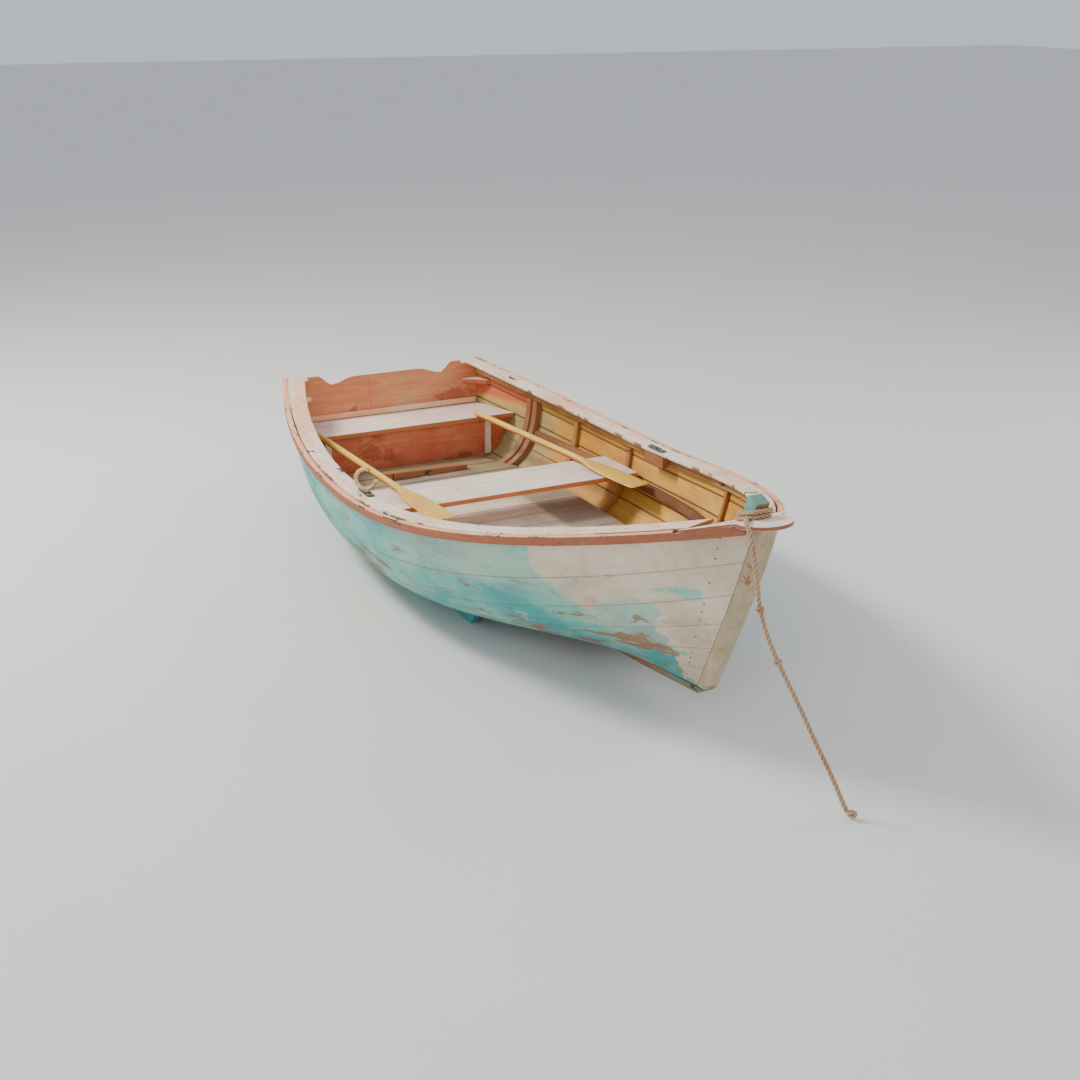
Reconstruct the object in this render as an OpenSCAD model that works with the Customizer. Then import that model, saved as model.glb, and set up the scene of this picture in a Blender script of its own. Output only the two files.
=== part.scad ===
// Small round-bilge wooden rowing dinghy with a scalloped transom.
// +X points to the bow, +Y to port, +Z up. The origin lies under the middle of the boat, on the ground.

/* [Hull] */
// Length over all, from the transom's top to the round nose
loa = 3300; // [2800:10:3960]
// Half breadth to the outside of the planking at the widest station
beam_half = 723; // [620:1:868]
// Share of the length, from the stern, where the boat is widest
widest_at = 0.46; // [0.40:0.01:0.55]
// Transom breadth as a share of the greatest breadth
transom_ratio = 0.676; // [0.6:0.01:0.8]
// Sheer height at the transom
sheer_stern = 571; // [520:1:686]
// Sheer height at its lowest point
sheer_low = 465; // [430:1:558]
// Sheer height at the stem head
sheer_bow = 805; // [700:1:940]
// Share of the length, from the stern, where the sheer is lowest
low_at = 0.413; // [0.35:0.01:0.5]
// Fore and aft rake of the stem
stem_rake = 282; // [200:1:340]
// Rake of the transom, from its foot to its top
transom_rake = 90; // [40:1:120]
// Rise of the hull's bottom at the stern
stern_rise = 87; // [40:1:105]
// Rise of the hull's bottom at the stem's foot
fore_rise = 110; // [60:1:132]

/* [Planking] */
// Planks on each side
strakes = 6; // [5:1:7]
// Plank thickness
plank_t = 12; // [9:0.5:15]
// Caulked seam between two planks
seam = 0.8; // [0.6:0.1:1.5]

/* [Backbone] */
// Depth of the keel below the planking
keel_depth = 25; // [20:1:40]
// Width of the keel
keel_w = 60; // [56:1:80]
// Width of the stem
stem_w = 56; // [50:1:70]
// Depth of the stem, fore and aft
stem_depth = 48; // [40:1:56]
// Height of the hog inside the keel
hog_h = 34; // [28:1:44]
// Thickness of the transom
transom_t = 22; // [18:1:28]

/* [Framing] */
// Depth of a bent rib
rib_d = 16; // [12:1:20]
// Width of a bent rib
rib_w = 26; // [20:1:34]
// Width of the inwale
inwale_w = 28; // [24:1:34]
// Height of the inwale
inwale_h = 40; // [32:1:50]
// Thickness of the gunwale cap
cap_t = 14; // [10:1:18]
// Overhang of the cap inside the inwale
cap_lip = 36; // [34:1:44]
// Thickness of the rub rail
rail_w = 28; // [20:1:34]
// Height of the rub rail
rail_h = 34; // [28:1:44]
// Height of a rising
rising_h = 34; // [28:1:44]

/* [Seats and floor] */
// Height of the stern seat's top
seat_z = 370; // [345:1:385]
// Fore and aft width of the stern seat
seat_w = 262; // [220:1:290]
// Height of the middle thwart's top
thwart_z = 330; // [305:1:345]
// Fore and aft width of the middle thwart
thwart_w = 280; // [230:1:320]
// Thickness of the seats
board_t = 22; // [18:1:26]
// Height of the floorboards' top
floor_z = 178; // [165:1:200]
// Thickness of the floorboards
floor_t = 12; // [9:1:15]
// Width of one floorboard
floor_board_w = 122; // [90:1:150]
// Gap between two floorboards
floor_gap = 6; // [3:1:12]

/* [Rowing gear] */
// Length of an oar
oar_length = 1205; // [1100:5:1300]
// Radius of an oar's shaft
oar_r = 15; // [13:0.5:18]
// Length of an oar's blade
blade_length = 390; // [330:5:440]
// Width of an oar's blade
blade_w = 108; // [90:1:125]
// Radius of the rowlock's pin
pin_r = 6.4; // [5:0.1:8]
// Running clearance of the pin in its socket
pin_clear = 0.1; // [0.05:0.01:0.1]
// Length of the rowlock's pin in its socket
pin_length = 58; // [50:1:70]
// Middle radius of the rowlock's horn
horn_r = 40; // [36:1:46]
// Radius of the metal of the horn
horn_rod = 8; // [6:0.5:9]

/* [Bow fittings] */
// Fore and aft size of the mooring post
post_x = 50; // [40:1:60]
// Width of the mooring post
post_y = 52; // [40:1:60]
// Height of the mooring post above the bow cap
post_h = 92; // [70:1:120]
// Forward lean of the mooring post in degrees
post_lean = 20; // [0:1:25]
// Diameter of the mooring rope
rope_d = 16; // [14:1:20]

/* [Hidden] */
$fn = 32;
fit = 0.4;
stem_half = stem_w / 2;
head_x = loa / 2 - 98;
transom_x = -loa / 2;
aft_fullness = 2.13;
fwd_fullness = 2.50;
stem_curve = 1.15;
rib_at = [for (share = [0.238, 0.3665, 0.6365, 0.7575]) transom_x + share * loa];
stations = 36;
rows = 3;
board_seam_y = -95;
thwart_aft = transom_x + 0.3145 * loa;
seat_front = transom_x + 60 + seat_w;
bulkhead_x = seat_front - 32;
bulkhead_t = 14;
bed = 1.2;
rib_skin = plank_t + bed;
inner_skin = rib_skin + rib_d + bed;
rising_d = 16;
rising_slope = 0.5;
bow_cap_at = 0.948;
rowlock_x = transom_x + 0.4515 * loa;
socket_r = pin_r + pin_clear;
boss_r = 9.5;
plate_t = 4;
plate_l = 118;
plate_w = 30;
rowlock_turn = 63;
post_foot = 75;
deck_x = head_x - 55;
floor_from = seat_front + 8;
floor_to = transom_x + 0.679 * loa;
bearer_to = floor_to - 260;
bearer_y = 250;
runner_y = 360;
runner_w = 24;
runner_from = transom_x + 0.258 * loa;
runner_to = transom_x + 0.57 * loa;
bearer_from = seat_front + 190;
rising_from = seat_front + 190;
eps = 0.002;

// Route of the mooring rope, from the turns round the post to the ground ahead of the bow
rope_route = [[1527, -42, 824], [1550, -60, 833], [1574, -76, 835], [1598, -92, 837],
    [1620, -99, 829], [1638, -102, 808], [1652, -102, 780], [1664, -101, 742],
    [1680, -97, 668], [1695, -92, 590], [1722, -80, 514], [1768, -67, 440],
    [1838, -38, 330], [1902, -9, 219], [1962, 21, 113], [2008, 44, 24], [2028, 52, 12]];
knot_at = [[1695, -92, 590], [1768, -67, 440], [2030, 53, 18.6]];

// ---------- hull form ----------
function half_breadth(u) =
    let (t = (widest_at - u) / widest_at, s = (u - widest_at) / (1 - widest_at))
    u < widest_at ? beam_half * (1 - (1 - transom_ratio) * pow(t, aft_fullness))
    : beam_half * (1 - pow(s, fwd_fullness)) + stem_half * pow(s, fwd_fullness);
function sheer(u) =
    let (t = (low_at - u) / low_at, s = (u - low_at) / (1 - low_at))
    u < low_at ? sheer_low + (sheer_stern - sheer_low) * t * t
    : sheer_low + (sheer_bow - sheer_low) * s * s;
function bottom(u) = keel_depth + stern_rise * pow(max(0, (0.4 - u) / 0.4), 2)
    + fore_rise * pow(max(0, (u - 0.5) / 0.5), 2);
function fineness(u) = pow(max(0, (u - 0.5) / 0.5), 2.0);
foot_z = keel_depth + fore_rise;
function blend(a, b, w) = a * (1 - w) + b * w;
function stern_face(z) = transom_x + transom_rake * (1 - z / sheer_stern);
function stem_face(z) =
    let (t = 1 - (z - foot_z) / (sheer_bow - foot_z))
    head_x - stem_rake * sign(t) * pow(abs(t), stem_curve);

// Outside of the planking: u runs from transom to stem, v from keel to sheer
function hull(u, v) =
    let (w = fineness(u), b = half_breadth(u) - stem_half, z0 = bottom(u), d = sheer(u) - z0, q = 1 - v,
        y = stem_half + 3 * v * q * q * b * blend(0.72, 0.36, w)
            + 3 * v * v * q * b * blend(1.0, 0.68, w) + v * v * v * b,
        z = z0 + 3 * v * q * q * d * blend(0.05, 0.20, w)
            + 3 * v * v * q * d * blend(0.12, 0.58, w) + v * v * v * d,
        aft = stern_face(z))
    [aft + u * (stem_face(z) - aft), y, z];
function unit(p) = p / norm(p);
function inward(u, v) =
    unit(cross(hull(u, v + eps) - hull(u, v - eps), hull(u + eps, v) - hull(u - eps, v))) * -1;
function skin(u, v, d) = hull(u, v) + d * inward(u, v);

// Place on a surface d inside the planking's outside, by height, by x, or by both
function v_at(u, z, d, lo = 0, hi = 1.06, n = 14) =
    n == 0 ? (lo + hi) / 2
    : let (m = (lo + hi) / 2) skin(u, m, d).z < z ? v_at(u, z, d, m, hi, n - 1) : v_at(u, z, d, lo, m, n - 1);
function at_z(u, z, d) = skin(u, v_at(u, z, d), d);
function u_guess(x, z) = (x - stern_face(z)) / (stem_face(z) - stern_face(z));
function at_xz(x, z, d, u = -9, n = 3) =
    let (g = u < -5 ? u_guess(x, z) : u, p = at_z(g, z, d))
    n == 0 ? [x, p.y, p.z] : at_xz(x, z, d, g + (x - p.x) / loa, n - 1);
function at_xv(x, v, d, u = -9, n = 4) =
    let (g = u < -5 ? u_guess(x, sheer_low - 100) : u, p = skin(g, v, d))
    n == 0 ? [x, p.y, p.z] : at_xv(x, v, d, g + (x - p.x) / loa, n - 1);
function v_at_xy(x, y, d, lo = 0, hi = 1, n = 14) =
    n == 0 ? (lo + hi) / 2
    : let (m = (lo + hi) / 2) at_xv(x, m, d).y < y ? v_at_xy(x, y, d, m, hi, n - 1)
    : v_at_xy(x, y, d, lo, m, n - 1);
function z_at_xy(x, y, d) = at_xv(x, v_at_xy(x, y, d), d).z;
function spread(a, b, n) = [for (i = [0:n]) a + (b - a) * i / n];
// every whole n-th between a and b, with the two ends
function parts_of(n, a, b) =
    concat([a], [for (i = [0:n]) let (u = i / n) if (u > a + 0.004 && u < b - 0.004) u], [b]);
// a ring between two stations lies on the flat between them, as the planks do
function along(u, ring) = let (i = floor(u * stations + 0.001), s = u * stations - i)
    s < 0.01 ? ring(i / stations) : ring(i / stations) * (1 - s) + ring((i + 1) / stations) * s;
// level and square to the sheer, inboard
function level_in(u) = let (n = inward(u, 1)) unit([n.x, n.y, 0]);
function sheer_point(u, d, z) = hull(u, 1) + d * level_in(u) + [0, 0, z];
function reverse(p) = [for (i = [len(p) - 1:-1:0]) p[i]];

// ---------- solids swept over the hull form ----------
// the two triangles of a face with four corners
function two(a, b, c, d) = [[a, b, c], [a, c, d]];
// rings hold 2 * (n + 1) points: the outer face's row, then the inner face's row
module strip(rings, n) {
    m = len(rings) - 1;
    a = n + 1;
    k = 2 * a;
    faces = concat(
        [for (i = [0:m - 1], j = [0:n - 1]) each
            two(i * k + j, (i + 1) * k + j, (i + 1) * k + j + 1, i * k + j + 1)],
        [for (i = [0:m - 1], j = [0:n - 1]) each
            two(i * k + a + j, i * k + a + j + 1, (i + 1) * k + a + j + 1, (i + 1) * k + a + j)],
        [for (i = [0:m - 1]) each two((i + 1) * k, i * k, i * k + a, (i + 1) * k + a)],
        [for (i = [0:m - 1]) each
            two(i * k + n, (i + 1) * k + n, (i + 1) * k + a + n, i * k + a + n)],
        [for (j = [0:n - 1]) each two(j, j + 1, a + j + 1, a + j)],
        [for (j = [0:n - 1]) each two(m * k + j + 1, m * k + j, m * k + a + j, m * k + a + j + 1)]);
    polyhedron(points = [for (r = rings) each r], faces = faces, convexity = 6);
}
module both_sides() {
    children();
    mirror([0, 1, 0]) children();
}
module side(s) {
    mirror([0, s < 0 ? 1 : 0, 0]) children();
}
// a plate drawn in plan, between two heights
module plate(points, z, t) {
    translate([0, 0, z]) linear_extrude(t) polygon(points);
}
// a plank drawn in profile (x, z), of width w across the middle y
module profile(points, y, w) {
    translate([0, y + w / 2, 0]) rotate([90, 0, 0]) linear_extrude(w) polygon(points);
}
// a board drawn across the boat (y, z), of thickness t, its aft face at x
module across(points, x, t) {
    translate([x, 0, 0]) rotate([90, 0, 90]) linear_extrude(t) polygon(points);
}
// a rail of four corners that runs along the planking's stations
module rail(u0, u1, ring) {
    strip([for (u = parts_of(stations, u0, u1)) along(u, ring)], 1);
}

// ---------- planking ----------
module strake(k) {
    half_seam = seam / 2 / (beam_half + sheer_low);
    v0 = (k - 1) / strakes + half_seam;
    v1 = k / strakes - half_seam;
    vs = spread(v0, v1, rows);
    strip([for (u = spread(0, 1, stations))
        concat([for (v = vs) hull(u, v)], [for (v = vs) k == strakes && v > 1 - 2 * half_seam
            ? at_z(u, hull(u, v).z, plank_t) : skin(u, v, plank_t)])], rows);
}
module strake_pair(k, s) {
    color(k < strakes ? "#7fc0b5" : "#8cc6ba") side(s) strake(k);
}

// ---------- backbone ----------
hog_w = 2 * (stem_half - 10);
module keel() {
    heel_u = 0.012;
    heel = hull(heel_u, 0).x;
    under = [for (u = spread(0.5, 0.95, 8)) [hull(u, 0).x, bottom(u) - keel_depth]];
    toe = stem_face(foot_z);
    color("#8a5a3a") profile(concat([[heel, 0]], under, [[toe + 8, foot_z - keel_depth],
        [toe + stem_depth - 8, foot_z - fit]],
        reverse([for (u = parts_of(stations, heel_u, 0.95)) [hull(u, 0).x, bottom(u) - fit]])),
        0, keel_w);
}
module hog() {
    us = parts_of(stations, 0.013, 0.90);
    color("#a9834f") profile(concat([for (u = us) [hull(u, 0).x, bottom(u)]],
        reverse([for (u = us) [hull(u, 0).x, bottom(u) + hog_h]])), 0, hog_w);
}
module stem() {
    zs = spread(foot_z, sheer_bow - 4, 14);
    color("#8f9a6a") profile(concat([for (z = zs) [stem_face(z) + bed, z]],
        reverse([for (z = zs) [stem_face(z) + stem_depth - 8 * (1 - z / sheer_bow), z]])),
        0, stem_w);
}
module apron() {
    zs = spread(foot_z + hog_h + 12, sheer_bow - 98, 12);
    color("#b9924e") profile(concat([for (z = zs) [stem_face(z) - 42, z]],
        reverse([for (z = zs) [stem_face(z) + fit, z]])), 0, stem_half - 4);
}
module stern_knee() {
    z0 = bottom(0) + hog_h;
    x0 = stern_face(z0) + transom_t + fit;
    color("#a9834f") profile(concat([for (x = spread(x0 + 1, x0 + 150, 4))
        [x, bottom(u_guess(x, z0 - hog_h)) + hog_h + fit]], [[x0 + 60, z0 + 50],
        [stern_face(z0 + 150) + transom_t + fit, z0 + 150]]), 0, hog_w);
}

// ---------- transom ----------
top_centre = -6;
top_dip = -34;
top_horn = 12;
// height of the transom's top edge against the sheer, at a distance from the middle
function transom_top(y) =
    let (a = abs(y) / (transom_ratio * beam_half))
    a < 0.34 ? top_centre
    : a < 0.58 ? blend(top_centre, top_dip, (1 - cos(180 * (a - 0.34) / 0.24)) / 2)
    : a < 0.72 ? blend(top_dip, top_horn, (1 - cos(180 * (a - 0.58) / 0.14)) / 2) : top_horn;
function transom_ring(t) =
    let (port = [for (v = spread(0, 1, strakes * rows))
        let (p = hull(0, v), q = at_xv(stern_face(p.z) + t, v, plank_t + bed))
        [stern_face(q.z) + t, q.y, q.z]])
    concat(port, reverse([for (p = port) [p.x, -p.y, p.z]]));
module transom_blank() {
    aft = transom_ring(0);
    fore = transom_ring(transom_t);
    n = len(aft);
    lift = [-transom_rake / sheer_stern * 60, 0, 60];
    rings = [for (r = [aft, fore]) concat([for (i = [0:n / 2 - 1]) r[i]],
        [r[n / 2 - 1] + lift, r[n / 2] + lift], [for (i = [n / 2:n - 1]) r[i]])];
    m = n + 2;
    polyhedron(points = [for (r = rings) each r], faces = concat(
        [[for (i = [0:m - 1]) i]], [[for (i = [m - 1:-1:0]) m + i]],
        [for (i = [0:m - 1]) [(i + 1) % m, i, m + i, m + (i + 1) % m]]), convexity = 4);
}
module transom_board(y0, y1) {
    clear_y = transom_ratio * beam_half - cap_in - 12;
    ys = spread(-clear_y, clear_y, 44);
    low = sheer(transom_t / loa) - 1;
    color("#d48a64") intersection() {
        transom_blank();
        across(concat([[-beam_half, 0], [-beam_half, low], [-clear_y - 0.1, low]],
            [for (y = ys) [y, sheer_stern + transom_top(y)]],
            [[clear_y + 0.1, low], [beam_half, low], [beam_half, 0]]), transom_x - 50, 300);
        translate([transom_x - 40, y0, 0]) cube([280, y1 - y0, 700]);
    }
}
module transom_cleat() {
    z = seat_z + 4;
    w = at_xz(stern_face(z) + transom_t, z, plank_t).y - 10;
    color("#e8b58e") across([[-w, z], [w, z], [w, z + 24], [-w, z + 24]],
        stern_face(z) + transom_t + fit, 18);
}
module quarter_knee(s) {
    z = sheer(0.07) - inwale_h;
    x0 = stern_face(z - 26) + transom_t + fit;
    xs = spread(x0, x0 + 90, 4);
    d = plank_t + fit;
    color("#e3cdb9") side(s) plate(concat([for (x = xs) [x, at_xz(x, z - 26, d).y - 0.3]],
        [[x0 + 90, at_xz(x0 + 90, z, d).y - 20], [x0 + 40, at_xz(x0, z, d).y - 44],
         [x0 + 18, at_xz(x0, z, d).y - 84], [x0, at_xz(x0, z, d).y - 84]]), z - 26, 22);
}

// ---------- framing ----------
module rib_half(x, w, d) {
    top = v_at(u_guess(x, 350), sheer(u_guess(x, 350)) - inwale_h - 4, rib_skin);
    low = v_at_xy(x, hog_w / 2 + 3, rib_skin + d);
    strip([for (v = parts_of(strakes * rows, low, top))
        [at_xv(x + w / 2, v, rib_skin), at_xv(x - w / 2, v, rib_skin),
         at_xv(x + w / 2, v, rib_skin + d), at_xv(x - w / 2, v, rib_skin + d)]], 1);
}
module rib_pair(k) {
    color("#b8863f") both_sides() rib_half(rib_at[k - 1], rib_w, rib_d);
}
module quarter_posts(s) {
    x = seat_front + 130;
    color("#8a4a2c") side(s) {
        rib_half(x, 30, 34);
        rib_half(x + 34, 30, 26);
    }
}
module inwale(s) {
    color("#b08f5e") side(s) rail(0.014, 0.925, function (u)
        let (low = at_z(u, sheer(u) - inwale_h, rib_skin), high = at_z(u, sheer(u) - 2 * fit, rib_skin),
            w = inwale_w * level_in(u)) [low, high, low + w, high + w]);
}
cap_in = rib_skin + inwale_w + cap_lip;
module gunwale_cap(s) {
    color("#e3cdb9") side(s) difference() {
        rail(0, 0.972, function (u) [sheer_point(u, 0.6, 0.2), sheer_point(u, 0.6, cap_t),
            sheer_point(u, cap_in, 0.2), sheer_point(u, cap_in, cap_t)]);
        socket_hole();
        translate([bow_edge.x - fit, 0, 0]) cube([loa, loa, loa]);
    }
}
// the rail stands proud of the sheer and is cut down where it runs on under the bow cap
module rub_rail(s) {
    step = bow_cap_at - 0.004;
    us = concat(parts_of(stations, 0, step), [step + 0.0005], parts_of(stations, step + 0.006, 0.995));
    low = cap_t - 1 - rail_h;
    color("#a5643f") side(s) strip([for (u = us) let (
        o = along(u, function (u) sheer_point(u, -rail_w, 0)),
        i = along(u, function (u) sheer_point(u, -2 * fit, 0)),
        top_o = u > step ? cap_under(o.x) - o.z - bed : cap_t - 2,
        top_i = u > step ? cap_under(i.x) - i.z - bed : cap_t - 2)
        [o + [0, 0, low], o + [0, 0, top_o], i + [0, 0, low], i + [0, 0, top_i]]], 1);
}
function rising_top(u) =
    thwart_z - board_t - fit + rising_slope * (sheer(u) - sheer(u_guess(thwart_aft, thwart_z)));
module rising(s) {
    u0 = u_guess(rising_from, thwart_z);
    d0 = inner_skin;
    color("#8a5530") side(s) rail(u0, 0.86, function (u) let (z = rising_top(u))
        [at_z(u, z - rising_h, d0), at_z(u, z, d0),
         at_z(u, z - rising_h, d0 + rising_d), at_z(u, z, d0 + rising_d)]);
}

// ---------- bow ----------
nose_r = 98;
cap_slope = (sheer_bow - sheer_low) * 2 / (1 - low_at) / loa;
function cap_z(x) = sheer_bow + (x > head_x ? 0.1 : cap_slope) * (x - head_x);
// the planks' inner edges stand a little farther aft than their outer ones
cap_lead = 17;
function cap_under(x) = bed + (x > head_x - cap_lead ? sheer_bow + 0.1 * (x - head_x + cap_lead)
    : sheer(u_guess(x + cap_lead, sheer_bow)));
bow_edge = along(bow_cap_at, function (u) sheer_point(u, -rail_w - 2, 0));
module bow_cap() {
    nose_x = loa / 2 - nose_r;
    row = concat([for (u = parts_of(stations, bow_cap_at, 0.985))
        along(u, function (u) sheer_point(u, -rail_w - 2, 0))],
        [[head_x - cap_lead, 0.985 * nose_r, 0]],
        [for (a = [90:-10:10]) nose_r * [cos(a), sin(a), 0] + [nose_x, 0, 0]], [[loa / 2, 0.5, 0]]);
    color("#e6d3c0") difference() {
        strip([for (p = row) let (low = cap_under(p.x), high = cap_z(p.x) + cap_t + 4)
            [[p.x, p.y, low], [p.x, p.y, high], [p.x, -p.y, low], [p.x, -p.y, high]]], 1);
        post_body(0.5);
    }
}
deck_sink = 10;
function deck_z() = cap_z(deck_x) + cap_t + 4 - deck_sink;
module post_body(grow) {
    translate([deck_x, 0, deck_z()]) rotate([0, post_lean, 0])
        translate([-post_x / 2 - grow, -post_y / 2 - grow, -post_foot])
        cube([post_x + 2 * grow, post_y + 2 * grow, post_foot + post_h]);
}
module mooring_post() {
    color("#5e9c90") post_body(0);
}

// ---------- seats ----------
function seat_edge(x0, x1, z, d) = [for (x = spread(x0, x1, 6)) [x, at_xz(x, z, d).y]];
function mirrored(p) = reverse([for (q = p) [q.x, -q.y]]);
module middle_thwart() {
    z = thwart_z - board_t;
    edge = seat_edge(thwart_aft, thwart_aft + thwart_w, z, inner_skin);
    color("#e4d3c6") plate(concat(edge, mirrored(edge)), z, board_t);
}
module stern_seat() {
    z = seat_z - board_t;
    edge = seat_edge(stern_face(z) + transom_t + bed, seat_front, z, plank_t + bed);
    color("#e4d3c6") plate(concat(edge, mirrored(edge)), z, board_t);
}
function bulkhead_outline() =
    [for (v = parts_of(strakes * rows, 0.08, 0.62)) let (p = at_xv(bulkhead_x, v, plank_t + bed)) [p.y, p.z]];
module bulkhead_board(y0, y1) {
    top = seat_z - board_t - fit;
    side_pts = [for (p = bulkhead_outline()) if (p.y < top - 4) p];
    rim = at_xz(bulkhead_x, top, plank_t + bed).y;
    low = bottom(u_guess(bulkhead_x, keel_depth + stern_rise)) + hog_h + bed;
    outline = concat([[0, low], [hog_w / 2 + 6, low]], side_pts, [[rim, top]]);
    color("#c8603f") intersection() {
        across(concat(outline, reverse([for (p = outline) [-p.x, p.y]])), bulkhead_x, bulkhead_t);
        translate([bulkhead_x - 50, y0, 0]) cube([200, y1 - y0, 600]);
    }
}
module bulkhead_cleats() {
    top = seat_z - board_t - 2 * fit;
    y = at_xz(bulkhead_x + 30, floor_z + 20, plank_t).y - 46;
    color("#d8c0a0") both_sides()
        translate([bulkhead_x + bulkhead_t + fit, y - 30, floor_z + fit])
        cube([13, 30, top - floor_z - fit]);
}

// ---------- floor ----------
function bearer_low(x, y) = z_at_xy(x, y, inner_skin) + 0.6;
module bearer(y) {
    xs = spread(bearer_from, bearer_to, 14);
    top = floor_z - floor_t - fit;
    color("#8a774f") profile(concat([for (x = xs) [x, bearer_low(x, abs(y) + 15)]],
        [[bearer_to, top], [bearer_from, top]]), y, 28);
}
module centre_bearer() {
    xs = spread(floor_from + 4, floor_to - 10, 16);
    top = floor_z - floor_t - fit;
    color("#8a774f") profile(concat([for (x = xs) [x, bottom(u_guess(x, bottom(0.5))) + hog_h + bed]],
        [[floor_to - 10, top], [floor_from + 4, top]]), 0, 30);
}
module floor_bearers() {
    bearer(bearer_y);
    bearer(-bearer_y);
    centre_bearer();
}
function floor_half(x) = min(at_xz(x, floor_z - floor_t, inner_skin + 20).y, 0.69 * beam_half);
floor_pitch = floor_board_w + floor_gap;
floor_count = floor((floor_to - floor_from) / floor_pitch);
module floorboard(i) {
    x0 = floor_from + i * floor_pitch;
    x1 = x0 + floor_board_w;
    edge = [[x0, floor_half(x0)], [x1, floor_half(x1)]];
    plate(concat(edge, mirrored(edge)), floor_z - floor_t, floor_t);
}
thwart_board = floor((thwart_aft - floor_from) / floor_pitch);
module floorboards_aft() {
    color("#9a8a6a") for (i = [0:thwart_board - 1]) floorboard(i);
}
module floorboards_forward() {
    color("#e2d2c2") for (i = [thwart_board:floor_count - 1]) floorboard(i);
}
module foot_stretcher() {
    color("#8f5a35") translate([seat_front + 178, 0, floor_z + fit]) {
        hull() {
            translate([-22, -170, 0]) cube([44, 20, 34]);
            translate([-12, 195, 0]) cube([24, 15, 22]);
        }
        translate([-2, -188, 0]) cylinder(h = 34, r = 24);
    }
}
module bilge_runner(s) {
    xs = spread(runner_from, runner_to, 14);
    inner = runner_y - runner_w / 2;
    color("#8f6a45") profile(concat([[runner_from + 60, 0], [runner_to - 60, 0]],
        reverse([for (x = xs) [x, z_at_xy(x, inner, 0) - fit]])), s * runner_y, runner_w);
}

// ---------- rowing gear ----------
rowlock_u = u_guess(rowlock_x, sheer_low);
block_skin = rib_skin + inwale_w + fit;
socket_y = sheer_point(rowlock_u, block_skin + cap_lip / 2 - 1, 0).y;
socket_top = sheer(rowlock_u + plate_l / 2 / loa) + cap_t + plate_t + fit;
module socket_hole() {
    translate([rowlock_x, socket_y, 0]) cylinder(h = 900, r = boss_r + 0.3);
}
module rowlock_blocks() {
    low = sheer_low - inwale_h - 4;
    ends = [for (x = spread(rowlock_x - 75, rowlock_x + 75, 4))
        [x, at_xz(x, sheer_low - 20, block_skin + 0.5).y]];
    inner = socket_y - cap_lip / 2 + 2;
    top = sheer(rowlock_u - 75 / loa) - fit;
    color("#b08f5e") both_sides() difference() {
        plate(concat(ends, [[rowlock_x + 75, inner], [rowlock_x - 75, inner]]), low, top - low);
        socket_hole();
    }
}
module rowlock_socket(s) {
    color("#3f5a54") translate([rowlock_x, s * socket_y, socket_top]) difference() {
        union() {
            translate([0, 0, -plate_t]) linear_extrude(plate_t) offset(6) offset(-6)
                square([plate_l, plate_w], center = true);
            translate([0, 0, -plate_t - 50]) cylinder(h = 51, r = boss_r);
        }
        translate([0, 0, -80]) cylinder(h = 100, r = socket_r);
    }
}
module socket_screws() {
    color("#6a6a60") both_sides() for (k = [-1, 1], j = [-1, 1])
        translate([rowlock_x + k * (plate_l / 2 - 12 - 14 * (j + 1) / 2), socket_y + j * 7, socket_top + 0.1])
            cylinder(h = 2, r = 3.6);
}
horn_from = 75;
horn_to = 345;
horn_z = 9 + horn_rod + horn_r - 4;
function horn_point(a) = [horn_r * cos(a), 0, horn_z + horn_r * sin(a)];
module rowlock() {
    color("#e2c79a") translate([rowlock_x, -socket_y, socket_top]) rotate([0, 0, rowlock_turn]) {
        translate([0, 0, -pin_length]) cylinder(h = pin_length + 6, r = pin_r);
        translate([0, 0, 1.4]) cylinder(h = 9, r = 13);
        tube([for (a = spread(horn_from, horn_to, 26)) horn_point(a)], horn_rod, 14);
        for (a = [horn_from, horn_to]) translate(horn_point(a)) sphere(r = horn_rod + 1.5);
    }
}
// an oar along +X from its grip's end, blade flat
module oar() {
    neck = oar_length - blade_length;
    color("#e0c47e") rotate([0, 90, 0]) cylinder(h = neck - 60, r = oar_r);
    color("#d0843a") hull() {
        translate([neck - 62, 0, 0]) rotate([0, 90, 0]) cylinder(h = 2, r = oar_r);
        translate([neck + 30, -blade_w * 0.3, -6]) cube([2, blade_w * 0.6, 12]);
    }
    color("#e2be63") translate([neck, 0, -6]) linear_extrude(12) polygon([[30, -blade_w * 0.3],
        [90, -blade_w * 0.47], [160, -blade_w / 2], [blade_length - 8, -blade_w / 2],
        [blade_length, -blade_w / 2 + 8], [blade_length, blade_w / 2 - 8],
        [blade_length - 8, blade_w / 2], [160, blade_w / 2], [90, blade_w * 0.47], [30, blade_w * 0.3]]);
}
thwart_front = thwart_aft + thwart_w;
oar_clear = 1.1;
// lays an oar on the front edges of the stern seat and the middle thwart
module laid_oar(grip_x, grip_y, swing) {
    run = (thwart_front - seat_front) / cos(swing);
    drop = atan((seat_z + oar_r - thwart_z - 6) / run);
    z = seat_z + oar_r / cos(drop) + oar_clear + (seat_front - grip_x) / cos(swing) * tan(drop);
    translate([grip_x, grip_y, z]) rotate([0, 0, swing]) rotate([0, drop, 0]) oar();
}
module oar_port() {
    laid_oar(-1345, 352, 11.45);
}
module oar_starboard() {
    laid_oar(-1345, -470, 6.5);
}

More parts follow.
